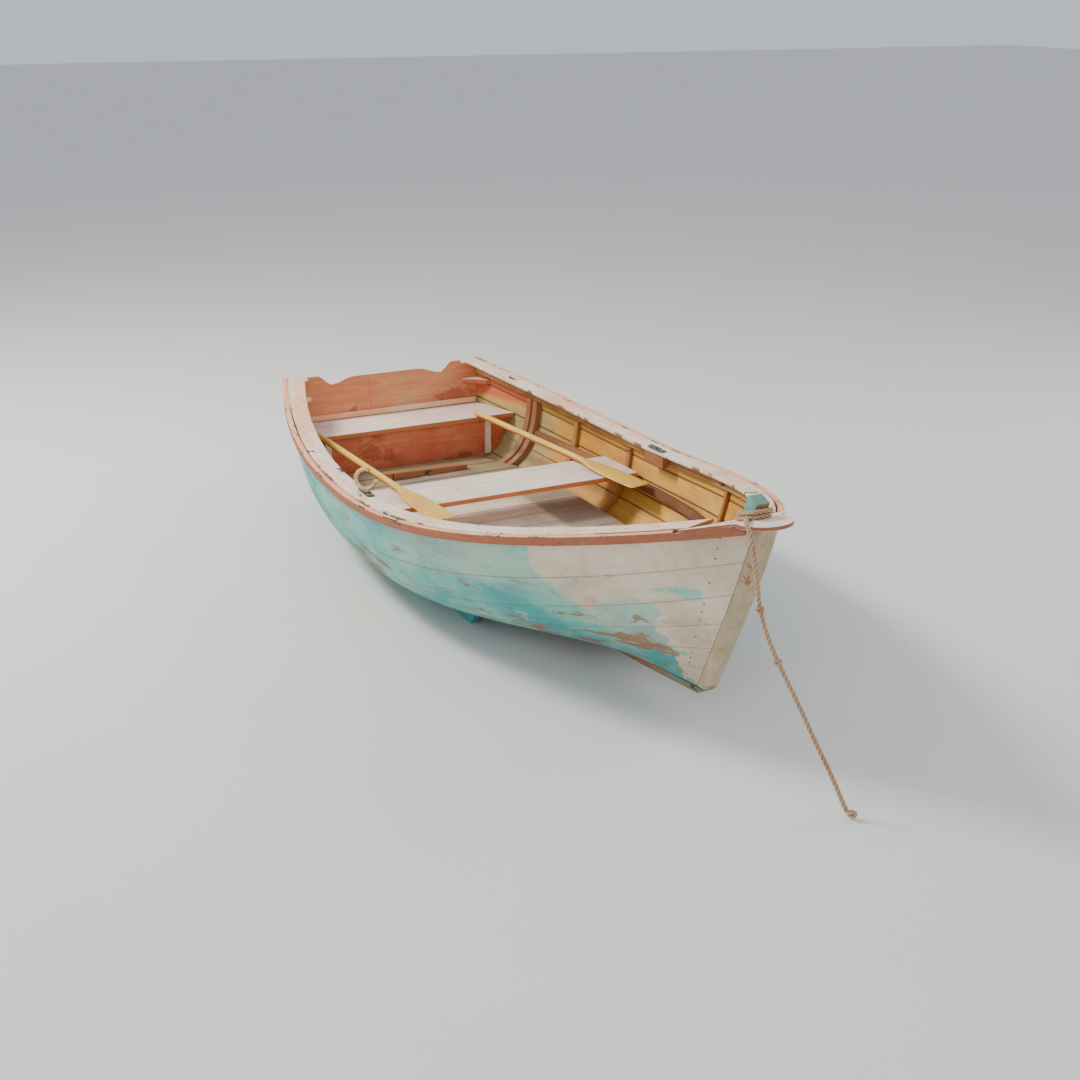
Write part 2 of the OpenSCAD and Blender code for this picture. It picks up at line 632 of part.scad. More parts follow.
// ---------- mooring rope ----------
// the turns lie on the cap, which slopes up forward, and the post leans through them
module post_turns() {
    cap_angle = atan(cap_slope);
    lean = post_lean + cap_angle;
    rise = deck_sink / (1 - cap_slope * tan(post_lean));
    hole = [post_x / cos(lean) + rope_d * tan(lean) + 1, post_y + 0.8];
    color("#c6a27a") translate([deck_x + rise * tan(post_lean), 0, deck_z() + rise + 0.5])
        rotate([0, -cap_angle, 0]) for (k = [0:1])
        translate([(k + 0.5) * rope_d * tan(lean), 0, k * (rope_d - 0.01)]) linear_extrude(rope_d) difference() {
            offset(rope_d) square(hole, center = true);
            square(hole, center = true);
        }
}
// points along a smooth curve through the route
function spline(p, i, t) =
    let (n = len(p) - 1, a = p[max(i - 1, 0)], b = p[i], c = p[min(i + 1, n)], d = p[min(i + 2, n)])
    0.5 * (2 * b + (c - a) * t + (2 * a - 5 * b + 4 * c - d) * t * t + (3 * b - a - 3 * c + d) * t * t * t);
function route_points(p, k) =
    concat([for (i = [0:len(p) - 2], j = [0:k - 1]) spline(p, i, j / k)], [p[len(p) - 1]]);
module tube(p, r, sides) {
    n = len(p) - 1;
    rings = [for (i = [0:n])
        let (t = unit(p[min(i + 1, n)] - p[max(i - 1, 0)]), a = unit(cross([0, 1, 0], t)), b = cross(t, a))
        [for (k = [0:sides - 1]) p[i] + r * cos(360 * k / sides) * a + r * sin(360 * k / sides) * b]];
    polyhedron(points = [for (q = rings) each q], faces = concat(
        [[for (k = [0:sides - 1]) k]], [[for (k = [sides - 1:-1:0]) n * sides + k]],
        [for (i = [0:n - 1], k = [0:sides - 1]) each
            two(i * sides + k, (i + 1) * sides + k, (i + 1) * sides + (k + 1) % sides, i * sides + (k + 1) % sides)]),
        convexity = 6);
}
module painter() {
    color("#c6a27a") tube(route_points(rope_route, 2), rope_d / 2, 8);
}
module painter_knots() {
    color("#c6a27a") for (p = knot_at) translate(p) sphere(r = rope_d * 1.15);
}

keel();
hog();
stem();
apron();
stern_knee();
transom_board(board_seam_y + fit, beam_half);  // transom_board_port
transom_board(-beam_half, board_seam_y);  // transom_board_starboard
transom_cleat();
strake_pair(1, 1);  // garboard_port
strake_pair(1, -1);  // garboard_starboard
strake_pair(2, 1);  // strake_2_port
strake_pair(2, -1);  // strake_2_starboard
strake_pair(3, 1);  // strake_3_port
strake_pair(3, -1);  // strake_3_starboard
strake_pair(4, 1);  // strake_4_port
strake_pair(4, -1);  // strake_4_starboard
strake_pair(5, 1);  // strake_5_port
strake_pair(5, -1);  // strake_5_starboard
strake_pair(strakes, 1);  // sheer_strake_port
strake_pair(strakes, -1);  // sheer_strake_starboard
rib_pair(1);  // rib_pair_1
rib_pair(2);  // rib_pair_2
rib_pair(3);  // rib_pair_3
rib_pair(4);  // rib_pair_4
quarter_posts(1);  // quarter_posts_port
quarter_posts(-1);  // quarter_posts_starboard
inwale(1);  // inwale_port
inwale(-1);  // inwale_starboard
gunwale_cap(1);  // gunwale_cap_port
gunwale_cap(-1);  // gunwale_cap_starboard
rub_rail(1);  // rub_rail_port
rub_rail(-1);  // rub_rail_starboard
bow_cap();
mooring_post();
quarter_knee(1);  // quarter_knee_port
quarter_knee(-1);  // quarter_knee_starboard
rising(1);  // rising_port
rising(-1);  // rising_starboard
middle_thwart();
stern_seat();
bulkhead_board(board_seam_y + fit, beam_half);  // bulkhead_board_port
bulkhead_board(-beam_half, board_seam_y);  // bulkhead_board_starboard
bulkhead_cleats();
floor_bearers();
floorboards_aft();
floorboards_forward();
foot_stretcher();
bilge_runner(1);  // bilge_runner_port
bilge_runner(-1);  // bilge_runner_starboard
rowlock_blocks();
rowlock_socket(1);  // rowlock_socket_port
rowlock_socket(-1);  // rowlock_socket_starboard
socket_screws();
rowlock();
oar_port();
oar_starboard();
post_turns();
painter();
painter_knots();
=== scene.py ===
import math
import random
from functools import cache

import bmesh
import bpy
import numpy as np
from mathutils import Matrix, Vector


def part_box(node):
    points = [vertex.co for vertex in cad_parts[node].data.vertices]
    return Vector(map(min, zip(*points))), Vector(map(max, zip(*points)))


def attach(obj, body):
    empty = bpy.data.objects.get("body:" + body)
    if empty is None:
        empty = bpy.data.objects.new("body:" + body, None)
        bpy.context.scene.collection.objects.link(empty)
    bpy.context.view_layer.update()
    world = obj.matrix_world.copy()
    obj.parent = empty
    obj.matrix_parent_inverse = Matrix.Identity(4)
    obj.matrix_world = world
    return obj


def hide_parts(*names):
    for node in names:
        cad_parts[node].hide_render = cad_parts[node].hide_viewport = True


bl_info = {
    "name": "Rowing dinghy",
    "version": (1, 0, 0),
    "blender": (4, 5, 0),
    "location": "View3D > Sidebar > Dinghy",
    "description": "Builds a weathered wooden rowing dinghy with its oars, rowlock and mooring rope",
    "category": "Object",
}

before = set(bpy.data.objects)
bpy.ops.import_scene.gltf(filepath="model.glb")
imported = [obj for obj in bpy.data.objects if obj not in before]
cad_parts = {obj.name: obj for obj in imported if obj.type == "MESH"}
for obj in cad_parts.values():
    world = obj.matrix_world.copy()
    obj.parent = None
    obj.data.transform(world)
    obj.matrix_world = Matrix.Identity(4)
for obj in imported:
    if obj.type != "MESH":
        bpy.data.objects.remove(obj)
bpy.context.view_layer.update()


# ---------- hull form, in metres ----------
LOA = 3.3
BEAM_HALF = 0.723
WIDEST_AT = 0.46
TRANSOM_RATIO = 0.676
SHEER_STERN = 0.571
SHEER_LOW = 0.465
SHEER_BOW = 0.805
LOW_AT = 0.413
STEM_RAKE = 0.282
TRANSOM_RAKE = 0.090
STERN_RISE = 0.087
FORE_RISE = 0.110
KEEL_DEPTH = 0.025
STEM_HALF = 0.028
AFT_FULLNESS = 2.13
FWD_FULLNESS = 2.50
STEM_CURVE = 1.15
HEAD_X = LOA / 2 - 0.098
TRANSOM_X = -LOA / 2
PLANK = 0.012
BED = 0.0012
RIB_SKIN = PLANK + BED
INWALE_W = 0.028
INWALE_H = 0.040
CAP_T = 0.014
CAP_LIP = 0.036
RAIL_W = 0.028
RAIL_H = 0.034
STRAKES = 6
BOW_CAP_AT = 0.948
CAP_LEAD = 0.017
JOINT = 0.0045
FOOT_Z = KEEL_DEPTH + FORE_RISE
CAP_SLOPE = (SHEER_BOW - SHEER_LOW) * 2 / (1 - LOW_AT) / LOA
# The section's two control points, amidships and at the bow: how far out and how far up they lie.
LOW_OUT, HIGH_OUT = (0.72, 0.36), (1.0, 0.68)
LOW_UP, HIGH_UP = (0.05, 0.20), (0.12, 0.58)

SEAT_FRONT = TRANSOM_X + 0.322
THWART_FRONT = TRANSOM_X + 0.3145 * LOA + 0.280
SEAT_TOP = 0.370
THWART_TOP = 0.330
POST_X, POST_Y, POST_LEAN = 0.050, 0.052, math.radians(20)
STRAKE_NAMES = ["garboard", "strake_2", "strake_3", "strake_4", "strake_5", "sheer_strake"]
SIDES = ((1, "port"), (-1, "starboard"))
PALE_FLOOR = ((0.70, 0.69, 0.67), (0.74, 0.73, 0.71))


def half_breadth(u):
    """Half the breadth at the sheer."""
    t = np.clip((WIDEST_AT - u) / WIDEST_AT, 0, None)
    s = np.clip((u - WIDEST_AT) / (1 - WIDEST_AT), 0, None)
    aft = BEAM_HALF * (1 - (1 - TRANSOM_RATIO) * t**AFT_FULLNESS)
    forward = BEAM_HALF * (1 - s**FWD_FULLNESS) + STEM_HALF * s**FWD_FULLNESS
    return np.where(u < WIDEST_AT, aft, forward)


def sheer(u):
    """Height of the planking's top edge."""
    t = (LOW_AT - u) / LOW_AT
    s = (u - LOW_AT) / (1 - LOW_AT)
    aft, forward = (SHEER_STERN - SHEER_LOW) * t * t, (SHEER_BOW - SHEER_LOW) * s * s
    return SHEER_LOW + np.where(u < LOW_AT, aft, forward)


def bottom(u):
    """Height of the planking's lowest edge, at the keel."""
    aft = STERN_RISE * np.clip((0.4 - u) / 0.4, 0, None) ** 2
    return KEEL_DEPTH + aft + FORE_RISE * np.clip((u - 0.5) / 0.5, 0, None) ** 2


def stern_face(z):
    """Where the planking ends aft."""
    return TRANSOM_X + TRANSOM_RAKE * (1 - z / SHEER_STERN)


def stem_face(z):
    """Where the planking ends forward."""
    t = 1 - (z - FOOT_Z) / (SHEER_BOW - FOOT_Z)
    return HEAD_X - STEM_RAKE * np.sign(t) * np.abs(t) ** STEM_CURVE


def hull(u, v):
    """Points outside on the port planking: u from transom to stem, v from keel to sheer."""
    u, v = np.broadcast_arrays(np.asarray(u, float), np.asarray(v, float))
    w = np.clip((u - 0.5) / 0.5, 0, None) ** 2
    b, z0 = half_breadth(u) - STEM_HALF, bottom(u)
    d, q = sheer(u) - z0, 1 - v

    def curve(low, high):
        low, high = (aft + (bow - aft) * w for aft, bow in (low, high))
        return 3 * v * q * q * low + 3 * v * v * q * high + v**3

    y = STEM_HALF + b * curve(LOW_OUT, HIGH_OUT)
    z = z0 + d * curve(LOW_UP, HIGH_UP)
    aft = stern_face(z)
    return np.stack([aft + u * (stem_face(z) - aft), y, z], -1)


def inward(u, v):
    """Directions square to the planking, into the boat."""
    u, v, e = np.asarray(u), np.asarray(v), 0.002
    n = np.cross(hull(u, v + e) - hull(u, v - e), hull(u + e, v) - hull(u - e, v))
    return -n / np.linalg.norm(n, axis=-1, keepdims=True)


def skin(u, v, depth):
    """Points a depth inside the outside of the planking."""
    return hull(u, v) + np.asarray(depth)[..., None] * inward(u, v)


def at_height(u, z, depth):
    """Points a depth inside the outside of the planking, at given heights."""
    low, high = np.zeros_like(u), np.full_like(u, 1.06)
    for _ in range(16):
        middle = (low + high) / 2
        under = skin(u, middle, np.full_like(u, depth))[..., 2] < z
        low, high = np.where(under, middle, low), np.where(under, high, middle)
    return skin(u, (low + high) / 2, np.full_like(u, depth))


def level_in(u):
    """Directions inboard, level and square to the sheer."""
    n = inward(u, np.ones_like(u)) * np.array([1, 1, 0])
    return n / np.linalg.norm(n, axis=-1, keepdims=True)


def cap_under(x):
    """Height of the underside of the bow cap."""
    aft, past_head = stern_face(SHEER_BOW), x - HEAD_X + CAP_LEAD
    u = (x + CAP_LEAD - aft) / (stem_face(SHEER_BOW) - aft)
    return BED + np.where(past_head > 0, SHEER_BOW + 0.1 * past_head, sheer(u))


def port_or_starboard(points, side):
    return points * np.array([1, side, 1])


# ---------- meshes ----------
def solid_mesh(name, verts, faces, marks, slots=None, angle=35):
    """A mesh with its normals outward. marks are stored as the attribute "edge"."""
    mesh = bpy.data.meshes.new(name)
    mesh.from_pydata(verts, [], faces)
    if slots:
        mesh.polygons.foreach_set("material_index", slots)
    set_marks(mesh, "edge", marks)
    work = bmesh.new()
    work.from_mesh(mesh)
    bmesh.ops.recalc_face_normals(work, faces=work.faces)
    store(work, mesh, angle)
    return mesh


def set_marks(mesh, name, marks):
    layer = mesh.attributes.new(name, "FLOAT", "POINT")
    layer.data.foreach_set("value", np.asarray(marks, float).ravel())


def store(work, mesh, angle):
    """Writes an edited mesh back, smooth but for its sharp edges."""
    work.to_mesh(mesh)
    work.free()
    tidy_shading(mesh, angle)


def placed(name, data):
    """A new object in the scene for a mesh, lamp or camera."""
    thing = bpy.data.objects.new(name, data)
    bpy.context.scene.collection.objects.link(thing)
    return thing


def new_piece(name, mesh, body, slot, replaces=(), material=None):
    """An object for a mesh, which rides a body and stands in for CAD nodes."""
    if material:
        mesh.materials.append(material)
    piece = placed(name, mesh)
    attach(piece, body)
    if replaces:
        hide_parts(*replaces)
    return piece


def tidy_shading(mesh, angle):
    for face in mesh.polygons:
        face.use_smooth = True
    mesh.set_sharp_from_angle(angle=math.radians(angle))


def loft(name, rings, ring_marks, face_slots=None, angle=35):
    """A solid through rings of points. rings is stations by points by 3."""
    rings = np.asarray(rings, float)
    n, m = rings.shape[:2]
    faces = []
    for i in range(0, (n - 1) * m, m):
        for j in range(m):
            k = (j + 1) % m
            faces.append((i + j, i + k, i + m + k, i + m + j))
    faces += [tuple(range(m - 1, -1, -1)), tuple((n - 1) * m + j for j in range(m))]
    slots = face_slots and face_slots * (n - 1) + face_slots[-1:] * 2
    marks = np.broadcast_to(ring_marks, (n, m))
    return solid_mesh(name, rings.reshape(-1, 3).tolist(), faces, marks, slots, angle)


def rounded_box_section(d0, d1, h0, h1, radius):
    """A rounded rectangle and its edge marks: 1 on the corners and 0 just beside them."""
    near_side, far_side, low, high = d0 + radius, d1 - radius, h0 + radius, h1 - radius
    corners = ((far_side, high), (near_side, high), (near_side, low), (far_side, low))
    points = []
    for quarter, (cd, ch) in enumerate(corners):
        for a in np.radians(90 * quarter + np.arange(0, 91, 30)):
            points.append((cd + radius * math.cos(a), ch + radius * math.sin(a)))
    out, marks = [], []
    for k, point in enumerate(points):
        follower = points[(k + 1) % len(points)]
        out.append(point)
        marks.append(1.0)
        gap = math.dist(point, follower)
        if gap > 0.012 and k % 4 == 3:
            for f in (0.004 / gap, 1 - 0.004 / gap):
                out.append(tuple(a * (1 - f) + b * f for a, b in zip(point, follower)))
                marks.append(0.0)
    return np.array(out), np.array(marks)


def dressed(node, bevel, slot, material, body="hull", name=None, segments=2):
    """A detailed copy of a CAD node with eased edges, which stands in for it."""
    mesh = bpy.data.meshes.new(name or node + "_timber")
    work = bmesh.new()
    work.from_mesh(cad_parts[node].data)
    bmesh.ops.remove_doubles(work, verts=work.verts, dist=2e-5)
    flat, sharp_from = math.radians(0.7), math.radians(28)
    bmesh.ops.dissolve_limit(work, angle_limit=flat, verts=work.verts, edges=work.edges)
    sharp = [e for e in work.edges if e.is_manifold and e.calc_face_angle(0) > sharp_from]
    if bevel:
        rounding = dict(offset=bevel, offset_type="OFFSET", segments=segments, profile=0.6)
        bmesh.ops.bevel(work, geom=sharp, affect="EDGES", clamp_overlap=True, **rounding)
    bmesh.ops.triangulate(work, faces=[f for f in work.faces if len(f.verts) > 4])
    store(work, mesh, 25)
    mesh.materials.clear()
    return new_piece(name or node + "_timber", mesh, body, slot, [node], material)


def timber(node, share, slot, kind, segments=2):
    """Dresses a sawn piece. share is how much of the timber easing its edges have."""
    return dressed(node, sizes().timber_ease * share, slot, paint(kind), segments=segments)


# ---------- materials ----------
def linear(code):
    """A #RRGGBB code as a linear colour."""
    values = [int(code[k : k + 2], 16) / 255 for k in (1, 3, 5)]
    return tuple(v / 12.92 if v <= 0.04045 else ((v + 0.055) / 1.055) ** 2.4 for v in values)


def c(name):
    """One of the boat's colours."""
    return tuple(getattr(bpy.context.scene.dinghy_colours, name))


class Recipe:
    """Adds shader nodes for one finish and joins them."""

    def __init__(self, name, roughness):
        self.material = bpy.data.materials.new(name)
        self.material.use_nodes = True
        self.tree = self.material.node_tree
        self.shader = next(n for n in self.tree.nodes if n.type == "BSDF_PRINCIPLED")
        self.shader.inputs["Roughness"].default_value = roughness
        place = self.node("ShaderNodeTexCoord")
        self.where = place.outputs["Object"]
        self.x, self.y, self.z = self.node("ShaderNodeSeparateXYZ", Vector=self.where).outputs
        facing = self.node("ShaderNodeSeparateXYZ", Vector=place.outputs["Normal"])
        self.nx, _, self.nz = facing.outputs

    def node(self, kind, **inputs):
        node = self.tree.nodes.new(kind)
        for name, value in inputs.items():
            self.put(node.inputs[name], value)
        return node

    def put(self, socket, value):
        """Links one socket to another, or sets its value."""
        if isinstance(value, bpy.types.NodeSocket):
            self.tree.links.new(value, socket)
        else:
            socket.default_value = (*value, 1) if socket.type == "RGBA" else value

    def noise(self, scale, detail=4, rough=0.55, stretch=None, offset=(0, 0, 0), bend=0.0):
        """Noise over the piece, which can be stretched and moved."""
        where = self.where
        if stretch:
            moved = self.node("ShaderNodeMapping", Vector=where, Scale=stretch, Location=offset)
            where = moved.outputs["Vector"]
        form = dict(Scale=scale, Detail=detail, Roughness=rough, Distortion=bend)
        return self.node("ShaderNodeTexNoise", Vector=where, **form).outputs["Fac"]

    def sweep(self, value, low, high, out_low=0.0, out_high=1.0):
        """A smooth step from out_low to out_high while the value goes from low to high."""
        node = self.node("ShaderNodeMapRange")
        node.interpolation_type = "SMOOTHSTEP"
        for socket, given in zip(node.inputs, (value, low, high, out_low, out_high)):
            self.put(socket, given)
        return node.outputs["Result"]

    def spots(self, low, high, *noise):
        """0 and 1 in patches: noise that goes from 0 to 1 between two of its levels."""
        return self.sweep(self.noise(*noise), low, high)

    def calc(self, kind, a, b=0.0):
        node = self.node("ShaderNodeMath")
        node.operation = kind
        self.put(node.inputs[0], a)
        self.put(node.inputs[1], b)
        return node.outputs[0]

    def times(self, a, b):
        return self.calc("MULTIPLY", a, b)

    def plus(self, a, b):
        return self.calc("ADD", a, b)

    def minus(self, a, b):
        return self.calc("SUBTRACT", a, b)

    def mix(self, amount, a, b, kind="MIX"):
        node = self.node("ShaderNodeMix")
        node.data_type = "RGBA"
        node.blend_type = kind
        for place, value in ((0, amount), (6, a), (7, b)):
            self.put(node.inputs[place], value)
        return node.outputs[2]

    def over(self, colour, mask, name, strength=1.0):
        """A colour with a named one laid over it where the mask is."""
        return self.mix(self.times(mask, strength), colour, c(name))

    def blend(self, value, low, high, first, second):
        """One named colour below a value and another above it."""
        return self.mix(self.sweep(value, low, high), c(first), c(second))

    def grained(self, colour, lines, low, high, dark, light):
        """A colour made darker and lighter along the grain."""
        return self.mix(1.0, colour, self.sweep(lines, low, high, dark, light), "MULTIPLY")

    def mark(self, name):
        node = self.node("ShaderNodeAttribute")
        node.attribute_name = name
        return node.outputs["Fac"]

    def finish(self, colour, height, distance, rough=None):
        """Joins the colour, the bump and the roughness to the shader."""
        self.put(self.shader.inputs["Base Color"], colour)
        if rough is not None:
            self.put(self.shader.inputs["Roughness"], rough)
        bump = self.node("ShaderNodeBump", Distance=distance, Strength=0.6, Height=height)
        self.put(self.shader.inputs["Normal"], bump.outputs["Normal"])
        return self.material


@cache
def outside_paint():
    """Turquoise paint, gone to cream near the bow, with brown streaks low down and chips, and painted
    shade that deepens the teal towards the bottom.
    """
    r = Recipe("outside", 0.55)
    shift = r.times(r.minus(r.noise(1.7, 6, 0.62, (1, 1, 1.6)), 0.5), 3.2)
    high = r.times(r.minus(r.z, 0.42), 1.8)
    along = r.sweep(r.plus(r.plus(r.x, shift), high), 1.00, 1.08)
    patch = r.noise(3.4, 8, 0.66, (0.7, 1, 1.3), (5, 0, 0))
    # Deeper teal in random patches, plus painted shade: the lower the point, the deeper the teal.
    patch_and_low_shade = r.plus(patch, r.times(r.minus(0.38, r.z), 0.5))
    sea = r.blend(patch_and_low_shade, 0.42, 0.62, "turquoise", "deep_teal")
    pale = r.spots(0.44, 0.60, 2.6, 7, 0.64, (0.6, 1, 1.4), (3, 3, 1))
    sea = r.over(sea, r.times(pale, r.sweep(r.x, -0.9, 0.7)), "cream", 0.38)
    colour = r.mix(along, sea, r.blend(r.noise(2.3, 5, 0.6), 0.35, 0.65, "cream", "beige"))
    left = r.spots(0.55, 0.63, 2.9, 6, 0.6, (0.8, 1, 1.4), (9, 2, 4))
    colour = r.over(colour, r.times(left, r.sweep(r.z, 0.52, 0.30)), "turquoise", 0.75)
    peel = r.spots(0.60, 0.62, 5.5, 9, 0.68, (0.5, 1, 1.5), (2, 7, 1))
    colour = r.mix(peel, colour, r.mix(along, c("sea_grey"), c("beige")))
    low = r.times(r.sweep(r.z, 0.50, 0.34), r.sweep(r.x, -0.9, 0.2))
    streak = r.spots(0.55, 0.60, 7.0, 8, 0.66, (0.32, 1, 1.9), (4, 3, 8), 0.3)
    colour = r.over(colour, r.times(streak, low), "worn_brown", 0.85)
    chip = r.spots(0.685, 0.70, 24, 7, 0.7, (0.55, 1, 1))
    colour = r.over(colour, chip, "worn_brown")
    colour = r.over(colour, r.spots(0.73, 0.75, 60, 5, 0.7), "dark_wood", 0.7)
    colour = r.over(colour, r.sweep(r.mark("edge"), 0.55, 1.0), "worn_brown", 0.35)
    colour = r.over(colour, r.sweep(r.mark("low"), 0.35, 0.8), "worn_brown", 0.8)
    brush = r.noise(46, 5, 0.6, (0.10, 1, 1))
    colour = r.grained(colour, brush, 0.25, 0.75, 0.90, 1.07)
    height = r.minus(r.times(brush, 0.3), r.plus(r.times(peel, 0.22), r.times(chip, 0.6)))
    bare = r.calc("MAXIMUM", chip, streak)
    return r.finish(colour, height, 0.0022, r.sweep(bare, 0, 1, 0.5, 0.8))


@cache
def inside_paint():
    """Ochre planks with dark seams, olive and damp low in the stern and red above."""
    r = Recipe("inside", 0.6)
    colour = r.blend(r.noise(2.4, 5, 0.6), 0.36, 0.66, "ochre", "light_ochre")
    wash = r.spots(0.52, 0.68, 5, 6, 0.62, (0.3, 1, 1))
    colour = r.over(colour, wash, "worn_brown", 0.45)
    aft_low = r.times(r.sweep(r.x, -0.95, -1.12), r.sweep(r.z, 0.46, 0.36))
    colour = r.over(colour, aft_low, "olive", 0.85)
    aft_high = r.times(r.sweep(r.x, -1.17, -1.20), r.sweep(r.z, 0.40, 0.43))
    colour = r.over(colour, aft_high, "red_orange", 0.9)
    lines = r.noise(52, 4, 0.6, (0.08, 1, 1))
    colour = r.grained(colour, lines, 0.25, 0.75, 0.84, 1.08)
    seam = r.sweep(r.mark("edge"), 0.35, 0.9)
    colour = r.over(colour, seam, "seam_brown", 0.9)
    stain = r.spots(0.66, 0.69, 20, 7, 0.7, (0.5, 1, 1), (1, 5, 2))
    colour = r.over(colour, stain, "dark_wood", 0.75)
    return r.finish(colour, r.minus(r.times(lines, 0.4), r.times(seam, 0.6)), 0.002)


def rail_zones(r, colour):
    """The rail's top is pale orange; its side is olive aft and brown forward."""
    top = r.blend(r.noise(4, 5, 0.6), 0.55, 0.68, "pale_orange", "gunwale_cream")
    drift = r.times(r.noise(2.5, 5, 0.6, (1, 1, 1), (3, 3, 3)), 0.9)
    sides = r.blend(r.plus(r.x, drift), -0.35, -0.85, "rail_brown", "olive_teal")
    patch = r.spots(0.54, 0.62, 5, 6, 0.62, (0.4, 1, 1), (6, 1, 1))
    sides = r.over(sides, patch, "worn_brown", 0.7)
    colour = r.mix(r.sweep(r.nz, 0.35, 0.6), sides, top)
    green = r.spots(0.60, 0.62, 7, 7, 0.66, (0.5, 1, 1), (8, 2, 1))
    return r.over(colour, green, "dark_green", 0.85)


def cap_zones(r, colour):
    """Faded primer and green chips, and bare sides near the bow."""
    primer = r.spots(0.5, 0.62, 3.2, 5, 0.6, (1, 1, 1), (2, 9, 4))
    colour = r.over(colour, primer, "pale_orange", 0.6)
    side = r.sweep(r.calc("ABSOLUTE", r.nz), 0.75, 0.55)
    colour = r.over(colour, r.times(r.sweep(r.x, 1.10, 1.14), side), "rail_brown")
    green = r.spots(0.61, 0.625, 8, 7, 0.66, (0.45, 1, 1), (4, 2, 7))
    return r.over(colour, green, "dark_green")


def floor_zones(r, colour):
    """Painted shadow of the port side: the boards are darker along the port side."""
    return r.over(colour, r.sweep(r.y, 0.25, 0.29), "floor_shade", 0.8)


def panel_zones(r, colour):
    """Red stains, and cream along the top edge."""
    stain = r.spots(0.56, 0.60, 3.8, 8, 0.66, (1, 0.6, 1), (1, 1, 1))
    colour = r.over(colour, stain, "deep_red", 0.75)
    return r.over(colour, r.times(r.sweep(r.nz, 0.45, 0.7), r.sweep(r.z, 0.47, 0.5)), "cream")


def transom_zones(r, colour):
    """The panel's finish inside and turquoise outside."""
    return r.over(panel_zones(r, colour), r.sweep(r.nx, -0.5, -0.8), "turquoise")


def post_zones(r, colour):
    """The post's forward face is worn to brown wood and its top is olive."""
    front = r.sweep(r.plus(r.nx, r.times(r.noise(9), 0.3)), 0.75, 0.95)
    colour = r.over(colour, front, "rail_brown", 0.85)
    return r.over(colour, r.sweep(r.nz, 0.55, 0.85), "olive_teal", 0.5)


ALONG, ACROSS, UPRIGHT = (0.09, 1, 1), (1, 0.09, 1), (1, 1, 0.12)
RIB_GRAIN = (1, 1, 0.1)
# For each finish: the base colour, the tone that clouds it, what the chips show, how few chips
# there are, and what else differs from weathered()'s defaults.
PAINTS = {
    "cap": ("gunwale_cream", "seat_white", "worn_brown", 0.71, dict(edge_wear=True, zones=cap_zones)),
    "rail": ("pale_orange", "rail_brown", "dark_green", 0.69, dict(edge_wear=True, zones=rail_zones)),
    "inwale": ("inwale_tan", "worn_brown", "dark_wood", 0.63, dict(edge_wear=True)),
    "transom": ("salmon", "tan", "deep_red", 0.68, dict(grain=ACROSS, zones=transom_zones)),
    "bulkhead": ("salmon", "red_orange", "deep_red", 0.68, dict(grain=ACROSS, zones=panel_zones)),
    "seat": (
        "seat_white", "seat_pink", "beige", 0.69,
        dict(side="edge_orange", grain=ACROSS, roughness=0.5),
    ),
    "floor_pale": (
        "seat_white", "beige", "worn_brown", 0.66,
        dict(side="tan", grain=ACROSS, zones=floor_zones),
    ),
    "floor_dark": ("olive", "floor_shade", "beige", 0.66, dict(side="dark_wood", grain=ACROSS)),
    "rib": ("worn_brown", "ochre", "dark_wood", 0.64, dict(grain=RIB_GRAIN)),
    "posts": ("deep_red", "worn_brown", "tan", 0.62, dict(grain=RIB_GRAIN)),
    "rising": ("worn_brown", "seam_brown", "tan", 0.64, {}),
    "keel": ("worn_brown", "olive_teal", "dark_wood", 0.62, {}),
    "stem": ("olive", "beige", "worn_brown", 0.6, dict(grain=UPRIGHT)),
    "apron": ("ochre", "tan", "worn_brown", 0.62, dict(grain=UPRIGHT)),
    "post": (
        "post_teal", "deep_teal", "dark_green", 0.62,
        dict(grain=UPRIGHT, zones=post_zones, size=2.0),
    ),
    "knee": ("cream", "gunwale_cream", "worn_brown", 0.64, {}),
    "stretcher": ("rail_brown", "worn_brown", "dark_wood", 0.66, dict(grain=ACROSS)),
    "cleat": ("pale_orange", "gunwale_cream", "worn_brown", 0.66, dict(grain=ACROSS)),
}


def weathered(
    name, base, tone, bare, chips,
    side=None, grain=ALONG, size=1.0, roughness=0.6, edge_wear=False, zones=None,
):
    """Old paint or bare timber: patchy colour, grain, chips down to the wood and dark flecks."""
    r = Recipe(name, roughness)
    colour = r.blend(r.noise(2.6 * size, 5, 0.6), 0.36, 0.66, base, tone)
    lines, fine = r.noise(60, 4, 0.6, grain), r.noise(170, 3, 0.6, grain)
    if zones:
        colour = zones(r, colour)
    if side:
        colour = r.mix(r.sweep(r.calc("ABSOLUTE", r.nz), 0.45, 0.70), c(side), colour)
    colour = r.grained(colour, lines, 0.3, 0.7, 0.86, 1.08)
    flaked = r.spots(chips, chips + 0.035, 9 * size, 8, 0.66, (0.55, 1, 1))
    if edge_wear:
        worn = r.sweep(r.times(r.mark("edge"), r.noise(9, 6, 0.65)), 0.56, 0.60)
        flaked = r.calc("MAXIMUM", flaked, worn)
    colour = r.mix(flaked, colour, c(bare))
    spots = r.spots(0.66, 0.70, 34, 6, 0.7, (0.4, 1, 1), (3, 1, 2))
    colour = r.mix(r.times(spots, 0.8), colour, tuple(0.35 * v for v in c(bare)))
    height = r.minus(r.times(r.plus(fine, lines), 0.35), r.times(flaked, 0.5))
    rough = r.sweep(flaked, 0, 1, roughness, min(1, roughness + 0.25))
    return r.finish(colour, height, 0.0016, rough)


@cache
def paint(kind):
    """The finish of one group of pieces, by name."""
    if kind == "outside":
        return outside_paint()
    *look, extra = PAINTS[kind]
    return weathered(kind, *look, **extra)


